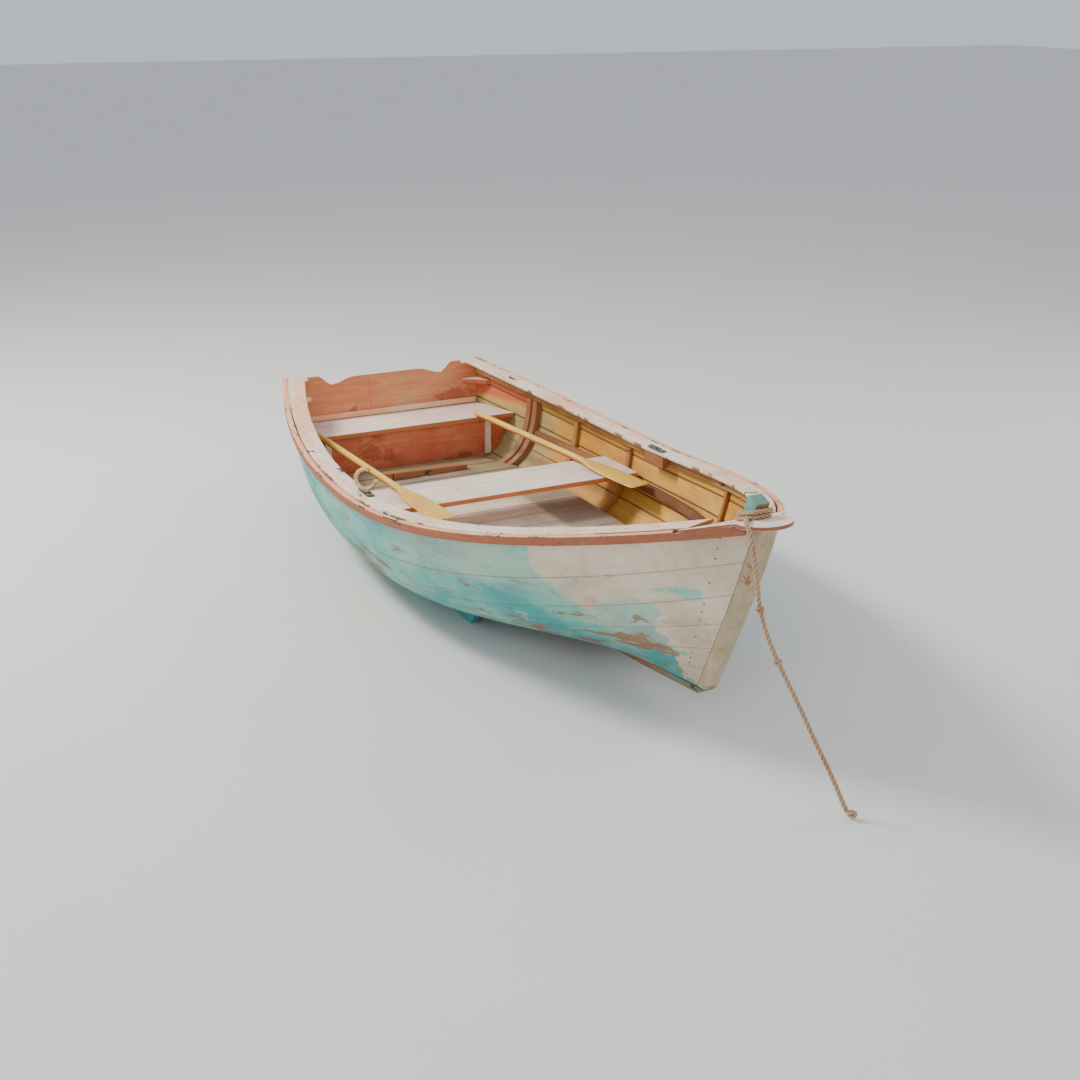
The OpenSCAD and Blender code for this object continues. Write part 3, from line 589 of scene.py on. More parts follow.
@cache
def oar_varnish():
    r = Recipe("oar", 0.42)
    colour = r.blend(r.noise(4, 5, 0.6), 0.4, 0.65, "oar_yellow", "light_ochre")
    # Painted shade: the faces of the oars that point down turn orange.
    colour = r.over(colour, r.sweep(r.nz, 0.15, -0.35), "edge_orange")
    lines = r.noise(90, 4, 0.6, (0.06, 1, 1))
    colour = r.grained(colour, lines, 0.3, 0.7, 0.86, 1.06)
    colour = r.over(colour, r.sweep(r.mark("edge"), 0.4, 0.6), "edge_orange")
    colour = r.over(colour, r.spots(0.67, 0.70, 22, 7, 0.7, (0.4, 1, 1)), "worn_brown")
    return r.finish(colour, lines, 0.0008)


@cache
def rope_fibre():
    r = Recipe("rope", 0.9)
    fibres = r.noise(420, 4, 0.7, (1, 1, 0.45))
    colour = r.blend(fibres, 0.3, 0.7, "rope_shade", "rope_tan")
    colour = r.over(colour, r.spots(0.5, 0.7, 14), "worn_brown", 0.4)
    # Painted shade: the strands darken on their inner sides, in the grooves where they meet.
    colour = r.over(colour, r.sweep(r.mark("edge"), 0.0, 0.7), "dark_wood", 0.75)
    r.shader.inputs["Sheen Weight"].default_value = 0.25
    return r.finish(colour, fibres, 0.0009)


@cache
def old_metal(name, base, worn, metallic):
    r = Recipe(name, 0.45)
    r.shader.inputs["Metallic"].default_value = metallic
    dull = r.spots(0.42, 0.66, 38, 6, 0.65)
    height = r.plus(r.times(dull, 0.5), r.times(r.noise(160, 4, 0.6), 0.4))
    rough = r.sweep(dull, 0, 1, 0.38, 0.7)
    return r.finish(r.mix(dull, c(base), c(worn)), height, 0.0006, rough)


# ---------- settings ----------
def length(name, description, default, low, high):
    limits = dict(default=default, min=low, max=high, unit="LENGTH", subtype="DISTANCE")
    return bpy.props.FloatProperty(name=name, description=description, **limits)


def colour(name, description, code):
    limits = dict(default=linear(code), subtype="COLOR", size=3, min=0, max=1)
    return bpy.props.FloatVectorProperty(name=name, description=description, **limits)


class DinghySizes(bpy.types.PropertyGroup):
    """Sizes of the boat's details."""

    rope_diameter: length("Rope diameter", "Thickness of the mooring rope", 0.016, 0.01, 0.03)
    rope_lay: length("Rope lay", "Length of one turn of a strand", 0.052, 0.03, 0.1)
    plank_ease: length("Plank ease", "How far a plank's edges are eased at a seam", 0.0011, 0.0, 0.004)
    rail_round: length("Rail rounding", "Radius of the edges of the caps and rails", 0.004, 0.001, 0.006)
    timber_ease: length("Timber easing", "Bevel on the edges of the sawn pieces", 0.0022, 0.0005, 0.005)
    nail_radius: length("Nail radius", "Radius of a nail's head", 0.0034, 0.002, 0.008)
    oar_radius: length("Oar radius", "Radius of an oar's shaft", 0.015, 0.01, 0.02)
    oar_length: length("Oar length", "Length of an oar from grip to blade tip", 1.205, 1.0, 2.5)
    blade_length: length("Blade length", "Length of an oar's blade and throat", 0.39, 0.2, 0.7)
    blade_width: length("Blade width", "Width of an oar's blade", 0.108, 0.08, 0.16)


class DinghyColours(bpy.types.PropertyGroup):
    """Colours of the boat's paints and timbers."""

    turquoise: colour("Turquoise", "Main paint of the topsides", "#6ABFAC")
    # Deep teal is also the painted shade low on the topsides.
    deep_teal: colour("Deep teal", "Darker patches in the topside paint", "#3A9C9A")
    cream: colour("Cream", "Pale paint where the topsides have faded", "#DCCDB4")
    sea_grey: colour("Sea grey", "Rubbed patches in the topside paint", "#9DB3A4")
    beige: colour("Beige", "Old undercoat", "#C4B094")
    pale_orange: colour("Pale orange", "Faded primer on the rails", "#EBAE7F")
    gunwale_cream: colour("Gunwale cream", "Tone of the gunwale caps", "#EBCDB0")
    worn_brown: colour("Worn brown", "Bare and stained wood", "#9A6644")
    # Dark wood is also the painted shade in the rope's grooves.
    dark_wood: colour("Dark wood", "Deep stains and end grain", "#4A3426")
    rail_brown: colour("Rail brown", "Red-brown wood of the rub rail", "#A05A3A")
    olive_teal: colour("Olive teal", "Old green paint on the rail", "#6F8068")
    dark_green: colour("Dark green", "Chips of old green paint", "#2F4A42")
    salmon: colour("Salmon", "Paint of the transom and bulkhead", "#DB8355")
    red_orange: colour("Red orange", "Stronger paint on the bulkhead", "#C8603F")
    deep_red: colour("Deep red", "Stains in the transom", "#A8502F")
    tan: colour("Tan", "Light bare wood", "#CE9C6A")
    ochre: colour("Ochre", "Inside of the planking", "#CC9337")
    light_ochre: colour("Light ochre", "Sunlit parts of the inside", "#DDAE50")
    olive: colour("Olive", "Damp planks near the stern", "#A39266")
    seam_brown: colour("Seam brown", "Filled seams inside", "#6B4020")
    # Floor shade is the painted shadow on the forward boards, and also the tone that clouds the aft
    # boards.
    floor_shade: colour("Floor shade", "Shaded floorboards", "#8A776B")
    seat_white: colour("Seat white", "Paint of the seats", "#EEDCCD")
    seat_pink: colour("Seat pink", "Warm tone of the seats", "#DEC7B8")
    # This orange is also the painted shade under the oars.
    edge_orange: colour("Edge orange", "Edges of seats, undersides of oars", "#C8753F")
    inwale_tan: colour("Inwale tan", "Bare inwale", "#B39163")
    post_teal: colour("Post teal", "Paint of the mooring post", "#5E9C90")
    oar_yellow: colour("Oar yellow", "Varnish of the oars", "#E6C050")
    rope_tan: colour("Rope tan", "Rope fibres", "#CDAA82")
    rope_shade: colour("Rope shade", "Shaded rope fibres", "#A27E58")
    bronze: colour("Bronze", "Metal of the rowlock", "#E2C79A")
    plate_green: colour("Plate green", "Painted metal of the sockets", "#33463F")


def sizes():
    return bpy.context.scene.dinghy_sizes


class DinghyOperator:
    bl_options = {"REGISTER", "UNDO"}

    def execute(self, context):
        self.build()
        return {"FINISHED"}


# ---------- camera and mooring rope ----------
CAMERA_AT = (5.171, -2.621, 2.398)
CAMERA_HEADING, CAMERA_DOWN, CAMERA_ROLL = (math.radians(a) for a in (62.94, 20.48, 0.33))
CAMERA_LENS, CAMERA_SENSOR = 50.53, 36


class DINGHY_OT_camera(DinghyOperator, bpy.types.Operator):
    """Sets the camera off the starboard bow, looking down into the boat"""

    bl_idname = "dinghy.camera"
    bl_label = "Camera"

    def build(self):
        data = bpy.data.cameras.new("camera")
        data.sensor_width, data.lens = CAMERA_SENSOR, CAMERA_LENS
        camera = placed("camera", data)
        turn = Matrix.Translation(CAMERA_AT)
        turns = ((CAMERA_HEADING, "Z"), (math.pi / 2 - CAMERA_DOWN, "X"), (CAMERA_ROLL, "Z"))
        for angle, axis in turns:
            turn = turn @ Matrix.Rotation(angle, 4, axis)
        camera.matrix_world = turn
        bpy.context.scene.camera = camera


ROPE_ROUTE = [
    (1.527, -0.042, 0.824), (1.550, -0.060, 0.833), (1.574, -0.076, 0.835), (1.598, -0.092, 0.837),
    (1.620, -0.099, 0.829), (1.638, -0.102, 0.808), (1.652, -0.102, 0.780), (1.664, -0.101, 0.742),
    (1.680, -0.097, 0.668), (1.695, -0.092, 0.590), (1.722, -0.080, 0.514), (1.768, -0.067, 0.440),
    (1.838, -0.038, 0.330), (1.902, -0.009, 0.219), (1.962, 0.021, 0.113), (2.008, 0.044, 0.024),
    (2.028, 0.052, 0.012),
]
# A strand's radius and its distance from the rope's middle, as shares of the rope's diameter.
STRAND, STRAND_OUT = 0.262, 0.236
KNOT_REACH, KNOT_ROPE = 0.0182, 0.62
ROPE_KNOTS = [(1.695, -0.092, 0.590), (1.768, -0.067, 0.440), (2.030, 0.053, 0.0186)]


def smooth_route(route, steps):
    """Points along a smooth curve through the route."""
    p = np.array(route)
    out = []
    for i in range(len(p) - 1):
        a, b, d, e = p[max(i - 1, 0)], p[i], p[i + 1], p[min(i + 2, len(p) - 1)]
        for t in np.linspace(0, 1, steps, endpoint=False):
            square, cube = 2 * a - 5 * b + 4 * d - e, 3 * b - a - 3 * d + e
            out.append(0.5 * (2 * b + (d - a) * t + square * t * t + cube * t**3))
    return np.array(out + [p[-1]])


def even_route(points, step):
    """The same line with points at even distances."""
    run = np.concatenate([[0], np.cumsum(np.linalg.norm(np.diff(points, axis=0), axis=1))])
    at = np.linspace(0, run[-1], max(2, int(run[-1] / step)) + 1)
    return np.stack([np.interp(at, run, points[:, k]) for k in range(3)], 1), run[-1]


def laid_rope(name, points, diameter, lay, closed=False):
    """Three strands twisted round a line, as one mesh."""
    path, total = even_route(points, lay / 14)
    if closed:
        lay = total / max(1, round(total / lay))
        path = path[:-1]
        tangent = np.roll(path, -1, 0) - np.roll(path, 1, 0)
    else:
        tangent = np.gradient(path, axis=0)
    run = np.linspace(0, total, len(path), endpoint=not closed)
    tangent /= np.linalg.norm(tangent, axis=1)[:, None]
    across = np.cross((0.0, 0.0, 1.0) if closed else (0.0, 1.0, 0.0), tangent)
    across /= np.linalg.norm(across, axis=1)[:, None]
    other = np.cross(tangent, across)
    verts, faces, marks = [], [], []
    strand, offset, sides, n = STRAND * diameter, STRAND_OUT * diameter, 9, len(path)
    for s in range(3):
        phase = 2 * math.pi * (run / lay + s / 3)
        out = np.cos(phase)[:, None] * across + np.sin(phase)[:, None] * other
        along = -np.sin(phase)[:, None] * across + np.cos(phase)[:, None] * other
        centre = path + offset * out
        base = len(verts)
        for k in range(sides):
            a = 2 * math.pi * k / sides
            verts += (centre + strand * (math.cos(a) * out + math.sin(a) * along)).tolist()
            # The marks run along the inner side of each strand, where the strands meet, and carry the
            # painted shade in the grooves.
            marks += [max(0.0, 0.35 - math.cos(a)) / 1.35] * n
        for k in range(sides):
            here, beside = base + k * n, base + (k + 1) % sides * n
            for i in range(n if closed else n - 1):
                j = (i + 1) % n
                faces.append((here + i, beside + i, beside + j, here + j))
        if not closed:
            faces.append(tuple(base + k * n for k in range(sides)))
            faces.append(tuple(base + k * n + n - 1 for k in range(sides - 1, -1, -1)))
    return solid_mesh(name, verts, faces, marks, angle=60), path, total


def knot_line(centre, reach, thickness):
    """A closed overhand shape inside a ball of the given reach."""
    t = np.linspace(0, 2 * math.pi, 90)
    big = (reach - thickness / 2) * 0.62
    ring = big * (1 + 0.52 * np.cos(3 * t))
    line = np.stack([ring * np.cos(2 * t), ring * np.sin(2 * t), big * 0.62 * np.sin(3 * t)], 1)
    return line + np.array(centre)


class DINGHY_OT_mooring_rope(DinghyOperator, bpy.types.Operator):
    """Makes the laid mooring rope, its knots and its turns round the post"""

    bl_idname = "dinghy.mooring_rope"
    bl_label = "Mooring rope"

    def build(self):
        s = sizes()
        d = s.rope_diameter
        rides = ("hull", "rope_fibre")
        mesh, path, total = laid_rope("mooring_rope", smooth_route(ROPE_ROUTE, 8), d, s.rope_lay)
        rope = new_piece("mooring_rope", mesh, *rides, ["painter"], rope_fibre())
        knots, thin = [], d * KNOT_ROPE
        for k, centre in enumerate(ROPE_KNOTS):
            line = knot_line(centre, KNOT_REACH, thin)
            mesh = laid_rope("rope_knot", line, thin, s.rope_lay * 0.6, True)[0]
            stands_for = ["painter_knots"] if k == 0 else ()
            knots.append(new_piece(f"rope_knot_{k + 1}", mesh, *rides, stands_for, rope_fibre()))
        mesh = post_turns_mesh(*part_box("post_turns"), d, s.rope_lay)
        new_piece("rope_turns", mesh, *rides, ["post_turns"], rope_fibre())


def post_turns_mesh(low, high, d, lay):
    """Two turns of rope lying on the sloping cap round the leaning post."""
    slope = math.atan(CAP_SLOPE)
    lean = POST_LEAN + slope
    centre = (low + high) / 2
    turn = Matrix.Rotation(-slope, 4, "Y")
    r = d * 0.75
    x = (POST_X / math.cos(lean) + d * math.tan(lean) + 0.001 + d) / 2 - r
    y = (POST_Y + d) / 2 + 0.0004 - r
    line = []
    for cx, cy, start in ((x, y, 0), (-x, y, 90), (-x, -y, 180), (x, -y, 270)):
        for a in np.radians(np.linspace(start, start + 90, 7)):
            line.append((cx + r * math.cos(a), cy + r * math.sin(a), 0))
    line.append(line[0])
    mesh, loops = bpy.data.meshes.new("rope_turns"), bmesh.new()
    for k in (-0.5, 0.5):
        shift = Vector((k * d * math.tan(lean), 0, k * d))
        points = [tuple(centre + turn @ (Vector(p) + shift)) for p in line]
        loop = laid_rope("turn", np.array(points), d, lay, True)[0]
        loops.from_mesh(loop)
        bpy.data.meshes.remove(loop)
    store(loops, mesh, 60)
    return mesh


# ---------- planking ----------
# How much of the easing a row has, by how much it is part of a seam.
EASED = {1: 1, 0.8: 0.25, 0: 0}
# Length round the section from keel to sheer, and distances of a plank's rows from its edge.
GIRTH, SEAM_NEAR, SEAM_BESIDE, SEAM_HALF = 0.95, 0.0035, 0.0075, 0.0004


def plank_rows(v0, v1, middle_seam):
    """Places across a plank, and how much each is part of a seam, a key of EASED."""
    near, beside = SEAM_NEAR / GIRTH, SEAM_BESIDE / GIRTH
    rows = [(v0, 1), (v0 + near, 0.8), (v0 + beside, 0)]
    rows += [(v, 0) for v in np.linspace(v0, v1, 9)[1:-1] if v0 + beside < v < v1 - beside]
    rows += [(v1 - beside, 0), (v1 - near, 0.8), (v1, 1)]
    if middle_seam:
        mid = (v0 + v1) / 2 + 0.006
        rows = [r for r in rows if abs(r[0] - mid) > beside * 1.5]
        rows += [(mid - beside, 0), (mid - near, 0.8), (mid, 1), (mid + near, 0.8), (mid + beside, 0)]
    return sorted(rows)


class DINGHY_OT_planking(DinghyOperator, bpy.types.Operator):
    """Makes the carvel planks, eased at their seams, painted outside and bare inside"""

    bl_idname = "dinghy.planking"
    bl_label = "Planking"

    def build(self):
        ease = sizes().plank_ease
        stations = np.linspace(0, 1, 90)
        level = np.ones_like(stations)
        half_seam = SEAM_HALF / (BEAM_HALF + SHEER_LOW)
        for k, name in enumerate(STRAKE_NAMES):
            v0, v1 = k / STRAKES + half_seam, (k + 1) / STRAKES - half_seam
            outer, inner = plank_rows(v0, v1, False), plank_rows(v0, v1, k >= 4)[::-1]
            rows = [(v, mark, ease * EASED[mark]) for v, mark in outer]
            rows += [(v, mark, PLANK - ease * EASED[mark]) for v, mark in inner]
            rings = np.stack([skin(stations, v * level, depth * level) for v, _, depth in rows], 1)
            if k == STRAKES - 1:
                top = hull(stations, v1 * level)[:, None, 2]
                rings[..., 2] = np.minimum(rings[..., 2], top)
            marks = np.array([mark for _, mark, _ in rows])
            slots = [0] * (len(outer) - 1) + [1] * (len(inner) + 1)
            low = np.zeros(rings.shape[:2])
            low[:, :2] = k == 0
            for side, word in SIDES:
                plank = f"{name}_{word}_plank"
                mesh = loft(plank, port_or_starboard(rings, side), marks, slots, 30)
                set_marks(mesh, "low", low)
                mesh.materials.append(outside_paint())
                new_piece(plank, mesh, "hull", "hull_paint", [f"{name}_{word}"], inside_paint())


class DINGHY_OT_backbone(DinghyOperator, bpy.types.Operator):
    """Eases and finishes the keel, hog, stem, apron, stern knee and bilge runners"""

    bl_idname = "dinghy.backbone"
    bl_label = "Backbone"

    def build(self):
        for node, slot, kind in (
            ("keel", "keel_wood", "keel"),
            ("hog", "keel_wood", "rising"),
            ("stem", "rail_wood", "stem"),
            ("apron", "keel_wood", "apron"),
            ("stern_knee", "keel_wood", "apron"),
            ("bilge_runner_port", "frame_wood", "outside"),
            ("bilge_runner_starboard", "frame_wood", "outside"),
        ):
            timber(node, 1.5, slot, kind)


class DINGHY_OT_transom(DinghyOperator, bpy.types.Operator):
    """Finishes the two transom boards, the cleat across them and the quarter knees"""

    bl_idname = "dinghy.transom"
    bl_label = "Transom"

    def build(self):
        for _, word in SIDES:
            timber(f"transom_board_{word}", 1, "panel_paint", "transom")
            knee = "bulkhead" if word == "port" else "knee"
            timber(f"quarter_knee_{word}", 1, "gunwale_paint", knee)
        timber("transom_cleat", 1, "gunwale_paint", "cleat")


class DINGHY_OT_framing(DinghyOperator, bpy.types.Operator):
    """Finishes the bent ribs, the quarter posts and the risings that carry the seat"""

    bl_idname = "dinghy.framing"
    bl_label = "Framing"

    def build(self):
        for k in range(1, 5):
            timber(f"rib_pair_{k}", 1, "frame_wood", "rib")
        for _, word in SIDES:
            timber(f"quarter_posts_{word}", 1, "frame_wood", "posts")
            timber(f"rising_{word}", 1, "frame_wood", "rising")


# ---------- gunwales ----------
SOCKET_HOLE = 0.0098


def sheer_sweep(name, u_values, section, marks, side, under=None, cap_over=False):
    """Sweeps a section (distance inboard, height above the sheer) along the sheer."""
    base = hull(u_values, np.ones_like(u_values))
    rings = base[:, None] + section[None, :, :1] * level_in(u_values)[:, None]
    rings[..., 2] += section[None, :, 1]
    if under is not None:
        for k, (_, height) in enumerate(section):
            against = at_height(u_values, sheer(u_values) + height, under)
            rings[:, k, :2] += (against - base)[:, :2]
    if cap_over:
        ahead = u_values > BOW_CAP_AT - 0.0037
        rings[ahead, :, 2] = np.minimum(rings[ahead, :, 2], cap_under(rings[ahead, :, 0]) - 0.0012)
    return loft(name, port_or_starboard(rings, side), marks)


def cut_ahead(mesh, x):
    """Cuts away what lies ahead of x and closes the end."""
    work = bmesh.new()
    work.from_mesh(mesh)
    parts = work.verts[:] + work.edges[:] + work.faces[:]
    plane = dict(plane_co=(x, 0, 0), plane_no=(1, 0, 0))
    cut = bmesh.ops.bisect_plane(work, geom=parts, clear_outer=True, **plane)
    edges = [e for e in cut["geom_cut"] if isinstance(e, bmesh.types.BMEdge)]
    bmesh.ops.contextual_create(work, geom=edges)
    bmesh.ops.recalc_face_normals(work, faces=work.faces)
    store(work, mesh, 35)
    return mesh


def drilled(mesh, x, y, radius):
    """The mesh with an upright round hole through it."""
    cutter_mesh = bpy.data.meshes.new("drill")
    work = bmesh.new()
    bmesh.ops.create_cone(
        work, cap_ends=True, segments=32, radius1=radius, radius2=radius, depth=2
    )
    bmesh.ops.translate(work, verts=work.verts, vec=(x, y, 0.5))
    work.to_mesh(cutter_mesh)
    work.free()
    body, cutter = placed("drill_target", mesh), placed("drill", cutter_mesh)
    cut = body.modifiers.new("hole", "BOOLEAN")
    cut.object, cut.operation, cut.solver = cutter, "DIFFERENCE", "EXACT"
    bpy.context.view_layer.update()
    cut_body = body.evaluated_get(bpy.context.evaluated_depsgraph_get())
    result = bpy.data.meshes.new_from_object(cut_body)
    for o in (body, cutter):
        bpy.data.objects.remove(o)
    bpy.data.meshes.remove(cutter_mesh)
    return result


class DINGHY_OT_gunwales(DinghyOperator, bpy.types.Operator):
    """Makes the rounded gunwale caps, inwales and rub rails along the sheer"""

    bl_idname = "dinghy.gunwales"
    bl_label = "Gunwales"

    def build(self):
        rounding = sizes().rail_round
        low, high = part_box("rowlock_socket_port")
        socket_x, socket_y, _ = (low + high) / 2
        inner = RIB_SKIN + INWALE_W + CAP_LIP
        rail_top = CAP_T - 0.002
        outer_edge = hull(BOW_CAP_AT, 1) - (RAIL_W + 0.002) * level_in(np.array([BOW_CAP_AT]))
        bow_cap_x = outer_edge[0, 0]
        rail_u = (np.linspace(0, BOW_CAP_AT - 0.004, 100), np.linspace(BOW_CAP_AT - 0.0035, 0.995, 14))
        pieces = (
            (
                "cap_{}", "gunwale_cap", "gunwale_paint", "cap", np.linspace(0, 0.972, 110),
                rounded_box_section(0.0008, inner, 0.0002, CAP_T, rounding), {},
            ),
            (
                "inwale_{}_batten", "inwale", "inwale_wood", "inwale", np.linspace(0.014, 0.925, 100),
                rounded_box_section(0, INWALE_W, -INWALE_H, -0.0008, rounding * 0.7),
                dict(under=RIB_SKIN),
            ),
            (
                "rub_rail_{}_moulding", "rub_rail", "rail_wood", "rail", np.concatenate(rail_u),
                rounded_box_section(-RAIL_W, -JOINT, rail_top + 0.001 - RAIL_H, rail_top, rounding),
                dict(cap_over=True),
            ),
        )
        for side, word in SIDES:
            for title, node, slot, kind, u, (section, marks), fitted in pieces:
                name = title.format(word)
                mesh = sheer_sweep(name, u, section, marks, side, **fitted)
                if kind == "cap":
                    mesh = cut_ahead(mesh, bow_cap_x - 0.0004)
                    mesh = drilled(mesh, socket_x, side * socket_y, SOCKET_HOLE)
                new_piece(name, mesh, "hull", slot, [f"{node}_{word}"], paint(kind))


class DINGHY_OT_bow(DinghyOperator, bpy.types.Operator):
    """Finishes the bow cap and the leaning mooring post"""

    bl_idname = "dinghy.bow"
    bl_label = "Bow"

    def build(self):
        dressed("bow_cap", sizes().rail_round, "gunwale_paint", paint("cap"), segments=3)
        timber("mooring_post", 1.3, "post_paint", "post", segments=3)


class DINGHY_OT_seats(DinghyOperator, bpy.types.Operator):
    """Finishes the stern seat, the middle seat and the bulkhead under the stern seat"""

    bl_idname = "dinghy.seats"
    bl_label = "Seats"

    def build(self):
        for node in ("middle_thwart", "stern_seat"):
            timber(node, 1.3, "seat_paint", "seat", segments=3)
        for _, word in SIDES:
            timber(f"bulkhead_board_{word}", 0.6, "panel_paint", "bulkhead")
        timber("bulkhead_cleats", 0.8, "gunwale_paint", "knee")


class DINGHY_OT_floor(DinghyOperator, bpy.types.Operator):
    """Finishes the floorboards, their bearers and the foot stretcher"""

    bl_idname = "dinghy.floor"
    bl_label = "Floor"

    def build(self):
        timber("floorboards_aft", 0.8, "floor_wood", "floor_dark")
        timber("floorboards_forward", 0.8, "floor_wood", "floor_pale")
        timber("floor_bearers", 0.6, "inner_wood", "rising")
        timber("foot_stretcher", 1.5, "frame_wood", "stretcher", segments=3)


# ---------- rowing gear ----------
class DINGHY_OT_rowlocks(DinghyOperator, bpy.types.Operator):
    """Finishes the rowlock, the two sockets, their screws and the blocks under them"""

    bl_idname = "dinghy.rowlocks"
    bl_label = "Rowlocks"

    def build(self):
        bronze = old_metal("bronze", "bronze", "tan", 0.55)
        plate = old_metal("plate", "plate_green", "olive_teal", 0.5)
        dressed("rowlock", 0, "rowlock_brass", bronze, "rowlock", "rowlock_casting")
        for _, word in SIDES:
            plate_name = f"socket_plate_{word}"
            dressed(f"rowlock_socket_{word}", 0.0006, "socket_iron", plate, name=plate_name)
        dressed("socket_screws", 0.0005, "rowlock_brass", bronze, name="socket_screw_heads")
        timber("rowlock_blocks", 1, "inwale_wood", "inwale")


# Along the blade as a share of its length: half width as a share of the widest, half thickness.
BLADE = (
    (0.0, 0.30, 0.0128), (0.06, 0.40, 0.0105), (0.12, 0.52, 0.0085), (0.20, 0.70, 0.0072),
    (0.30, 0.86, 0.0064), (0.42, 0.96, 0.0060), (0.6, 1.0, 0.0056), (0.8, 0.99, 0.0052),
    (0.93, 0.97, 0.0046), (0.975, 0.93, 0.0040), (0.992, 0.86, 0.0030), (1.0, 0.78, 0.0020),
)
# Where each oar's grip end lies and how far its blade swings to port, in degrees.
OAR_PLACES = {"oar_port": (-1.345, 0.352, 11.45), "oar_starboard": (-1.345, -0.470, 6.5)}
OAR_CLEARANCE = 0.0011


def oar_matrix(grip_x, grip_y, swing, radius):
    """Lays an oar on the front edges of the stern seat and the middle seat."""
    run = (THWART_FRONT - SEAT_FRONT) / math.cos(swing)
    drop = math.atan((SEAT_TOP + radius - THWART_TOP - 0.006) / run)
    z = SEAT_TOP + radius / math.cos(drop) + OAR_CLEARANCE
    z += (SEAT_FRONT - grip_x) / math.cos(swing) * math.tan(drop)
    turn = Matrix.Rotation(swing, 4, "Z") @ Matrix.Rotation(drop, 4, "Y")
    return Matrix.Translation((grip_x, grip_y, z)) @ turn


def oar_rings(s):
    """Rings of an oar along +X: a grip, a round shaft, a throat and a flat blade."""
    neck = s.oar_length - s.blade_length
    shaft = (
        (0.0, 0.72, 0.72), (0.002, 0.84, 0.84), (0.008, 0.90, 0.90), (0.10, 0.93, 0.93),
        (0.118, 0.96, 0.96), (0.126, 1.0, 1.0), (neck * 0.6, 1.0, 1.0),
        (neck - 0.08, 0.97, 0.97), (neck - 0.05, 0.96, 0.95),
    )
    rings = [(x, s.oar_radius * a, s.oar_radius * b) for x, a, b in shaft]
    half = s.blade_width / 2
    return rings + [(neck + f * s.blade_length, half * w, t) for f, w, t in BLADE]


class DINGHY_OT_oars(DinghyOperator, bpy.types.Operator):
    """Makes the two oars, each lying loose on the seats"""

    bl_idname = "dinghy.oars"
    bl_label = "Oars"

    def build(self):
        s = sizes()
        angles = np.linspace(0, 2 * math.pi, 28, endpoint=False)
        sine, cosine = np.sin(angles), np.cos(angles)
        for node, (x, y, swing) in OAR_PLACES.items():
            turn = oar_matrix(x, y, math.radians(swing), s.oar_radius)
            rings, marks = [], []
            for at, wide, thick in oar_rings(s):
                flat = min(1.0, max(0.0, (wide / thick - 1) / 2))
                across = np.sign(cosine) * np.abs(cosine) ** (1 - 0.45 * flat) * wide
                rings.append([tuple(turn @ Vector((at, a, b))) for a, b in zip(across, sine * thick)])
                marks.append([1.0 if at < 0.004 else 0.0])
            mesh = loft(node + "_wood", rings, marks, angle=50)
            new_piece(node + "_wood", mesh, node, "oar_wood", [node], oar_varnish())


# ---------- fastenings ----------
# For each seat: its front and top, how far behind the front the rows lie, and places across.
SEAT_NAILS = (
    (SEAT_FRONT, SEAT_TOP, (0.16, 0.05), np.linspace(-0.46, 0.46, 5)),
    (THWART_FRONT, THWART_TOP, (0.22, 0.06), (-0.60, -0.57, 0.57, 0.60)),
)
# Places across a strake at its two ends, for the odd strakes and then the even ones.
STRAKE_NAILS = ((0.5,), (0.22, 0.5, 0.78))
STRAKE_ENDS, CAP_NAIL_IN, NAIL_STRAY = (0.012, 0.978), 0.030, 0.003


def nail_spots():
    """Places and outward directions of the nail heads."""
    spots, up = [], np.array([0, 0, 1.0])
    rng = random.Random(4)
    for side, _ in SIDES:
        mirror = np.array([1, side, 1])
        for k in range(STRAKES):
            for v in ((k + f) / STRAKES for f in STRAKE_NAILS[k % 2]):
                for u in STRAKE_ENDS:
                    place = hull(u, v + rng.uniform(-NAIL_STRAY, NAIL_STRAY))
                    spots.append((place * mirror, -inward(u, v) * mirror))
        for u in np.linspace(0.05, 0.93, 34):
            place = hull(u, 1.0) + level_in(u) * CAP_NAIL_IN + CAP_T * up
            spots.append((place * mirror, up))
    for front, top, behind, across in SEAT_NAILS:
        spots += [(np.array([front - back, y, top]), up) for back in behind for y in across]
    return spots


class DINGHY_OT_nails(DinghyOperator, bpy.types.Operator):
    """Adds the domed nail heads in the planks, caps and seats"""

    bl_idname = "dinghy.nails"
    bl_label = "Nails"

    def build(self):
        radius = sizes().nail_radius
        profile = [(1.0, -0.3), (1.0, 0.02), (0.8, 0.16), (0.45, 0.26)]
        crown, sides = 0.30, 10
        verts, faces = [], []
        for place, out in nail_spots():
            place, n = Vector(place), Vector(out).normalized()
            a = n.orthogonal().normalized()
            b = n.cross(a)
            start = len(verts)
            for r, h in profile:
                for t in np.linspace(0, 2 * math.pi, sides, endpoint=False):
                    verts.append(place + radius * (r * (math.cos(t) * a + math.sin(t) * b) + h * n))
            verts.append(place + radius * crown * n)
            for low in range(start, start + (len(profile) - 1) * sides, sides):
                for k in range(sides):
                    k2 = (k + 1) % sides
                    faces.append((low + k, low + k2, low + sides + k2, low + sides + k))
            last = start + (len(profile) - 1) * sides
            faces += [(last + k, last + (k + 1) % sides, len(verts) - 1) for k in range(sides)]
            faces.append(tuple(start + k for k in range(sides - 1, -1, -1)))
        mesh = bpy.data.meshes.new("nail_heads")
        mesh.from_pydata([tuple(v) for v in verts], [], faces)
        tidy_shading(mesh, 60)
        iron = old_metal("iron", "dark_wood", "worn_brown", 0.3)
        new_piece("nail_heads", mesh, "hull", "socket_iron", (), iron)


# ---------- stage ----------
FLOOR_HALF = 40
SKY = ((0.86, 0.91, 1.0, 1), 0.75)
LIT_POINT = (0, 0, 0.4)
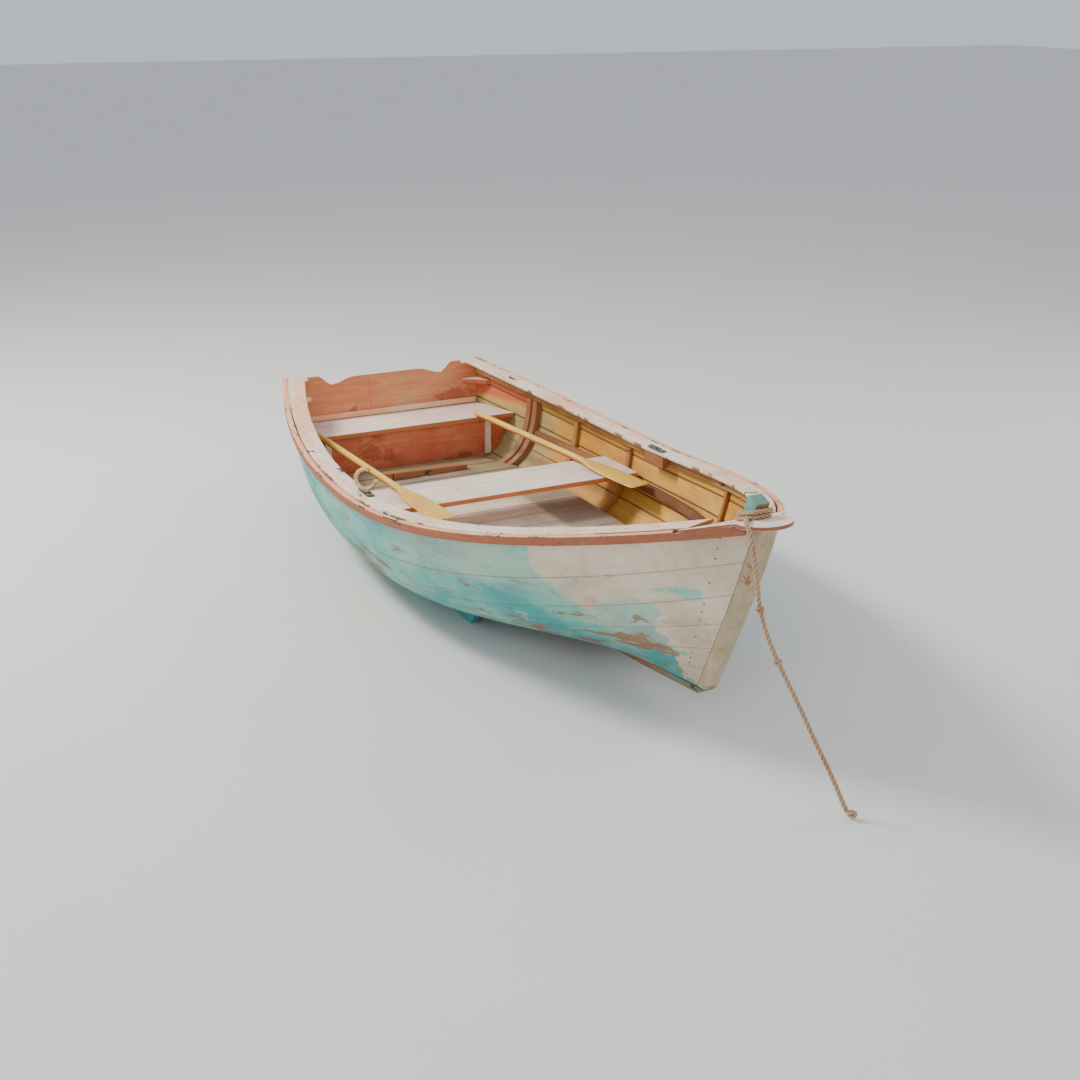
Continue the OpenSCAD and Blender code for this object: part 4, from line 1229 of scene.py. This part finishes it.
# Name, place, power, size and tint of each lamp.
LAMPS = (
    ("key", (-3.2, -3.6, 5.2), 520, 1.6, (1.0, 0.94, 0.84)),
    ("fill", (5.5, -3.5, 3.0), 110, 4.0, (0.88, 0.94, 1.0)),
    ("back", (1.0, 5.5, 3.5), 120, 3.0, (1.0, 0.97, 0.92)),
)


class DINGHY_OT_stage(DinghyOperator, bpy.types.Operator):
    """Adds a plain pale floor and soft studio light"""

    bl_idname = "dinghy.stage"
    bl_label = "Stage"

    def build(self):
        mesh = bpy.data.meshes.new("floor")
        corners = [(x * FLOOR_HALF, y * FLOOR_HALF, 0) for x, y in ((-1, -1), (1, -1), (1, 1), (-1, 1))]
        mesh.from_pydata(corners, [], [(0, 1, 2, 3)])
        r = Recipe("floor", 0.85)
        mesh.materials.append(r.finish(r.mix(r.noise(1.5, 3), *PALE_FLOOR), r.noise(30, 3), 0.0005))
        placed("floor", mesh)
        world = bpy.data.worlds.new("studio")
        world.use_nodes = True
        sky = world.node_tree.nodes["Background"].inputs
        sky["Color"].default_value, sky["Strength"].default_value = SKY
        bpy.context.scene.world = world
        for name, place, power, size, tint in LAMPS:
            data = bpy.data.lights.new(name, "AREA")
            data.energy, data.size, data.color = power, size, tint
            lamp = placed(name, data)
            lamp.location = place
            aim = Vector(LIT_POINT) - Vector(place)
            lamp.rotation_euler = aim.to_track_quat("-Z", "Y").to_euler()


OPERATORS = (
    DINGHY_OT_camera,
    DINGHY_OT_mooring_rope,
    DINGHY_OT_planking,
    DINGHY_OT_backbone,
    DINGHY_OT_transom,
    DINGHY_OT_framing,
    DINGHY_OT_gunwales,
    DINGHY_OT_bow,
    DINGHY_OT_seats,
    DINGHY_OT_floor,
    DINGHY_OT_rowlocks,
    DINGHY_OT_oars,
    DINGHY_OT_nails,
    DINGHY_OT_stage,
)


class DINGHY_PT_builder(bpy.types.Panel):
    """Lists the steps that build the dinghy"""

    bl_idname = "DINGHY_PT_builder"
    bl_label = "Rowing dinghy"
    bl_space_type = "VIEW_3D"
    bl_region_type = "UI"
    bl_category = "Dinghy"

    def draw(self, context):
        layout = self.layout
        for operator in OPERATORS:
            layout.operator(operator.bl_idname)
        for group in (context.scene.dinghy_sizes, context.scene.dinghy_colours):
            box = layout.box()
            for key in group.__annotations__:
                box.prop(group, key)


CLASSES = (DinghySizes, DinghyColours, *OPERATORS, DINGHY_PT_builder)


def register():
    for cls in CLASSES:
        bpy.utils.register_class(cls)
    bpy.types.Scene.dinghy_sizes = bpy.props.PointerProperty(type=DinghySizes)
    bpy.types.Scene.dinghy_colours = bpy.props.PointerProperty(type=DinghyColours)


def unregister():
    del bpy.types.Scene.dinghy_colours
    del bpy.types.Scene.dinghy_sizes
    for cls in reversed(CLASSES):
        bpy.utils.unregister_class(cls)


def main():
    register()
    for operator in OPERATORS:
        group, name = operator.bl_idname.split(".")
        getattr(getattr(bpy.ops, group), name)()


if __name__ == "__main__":
    main()
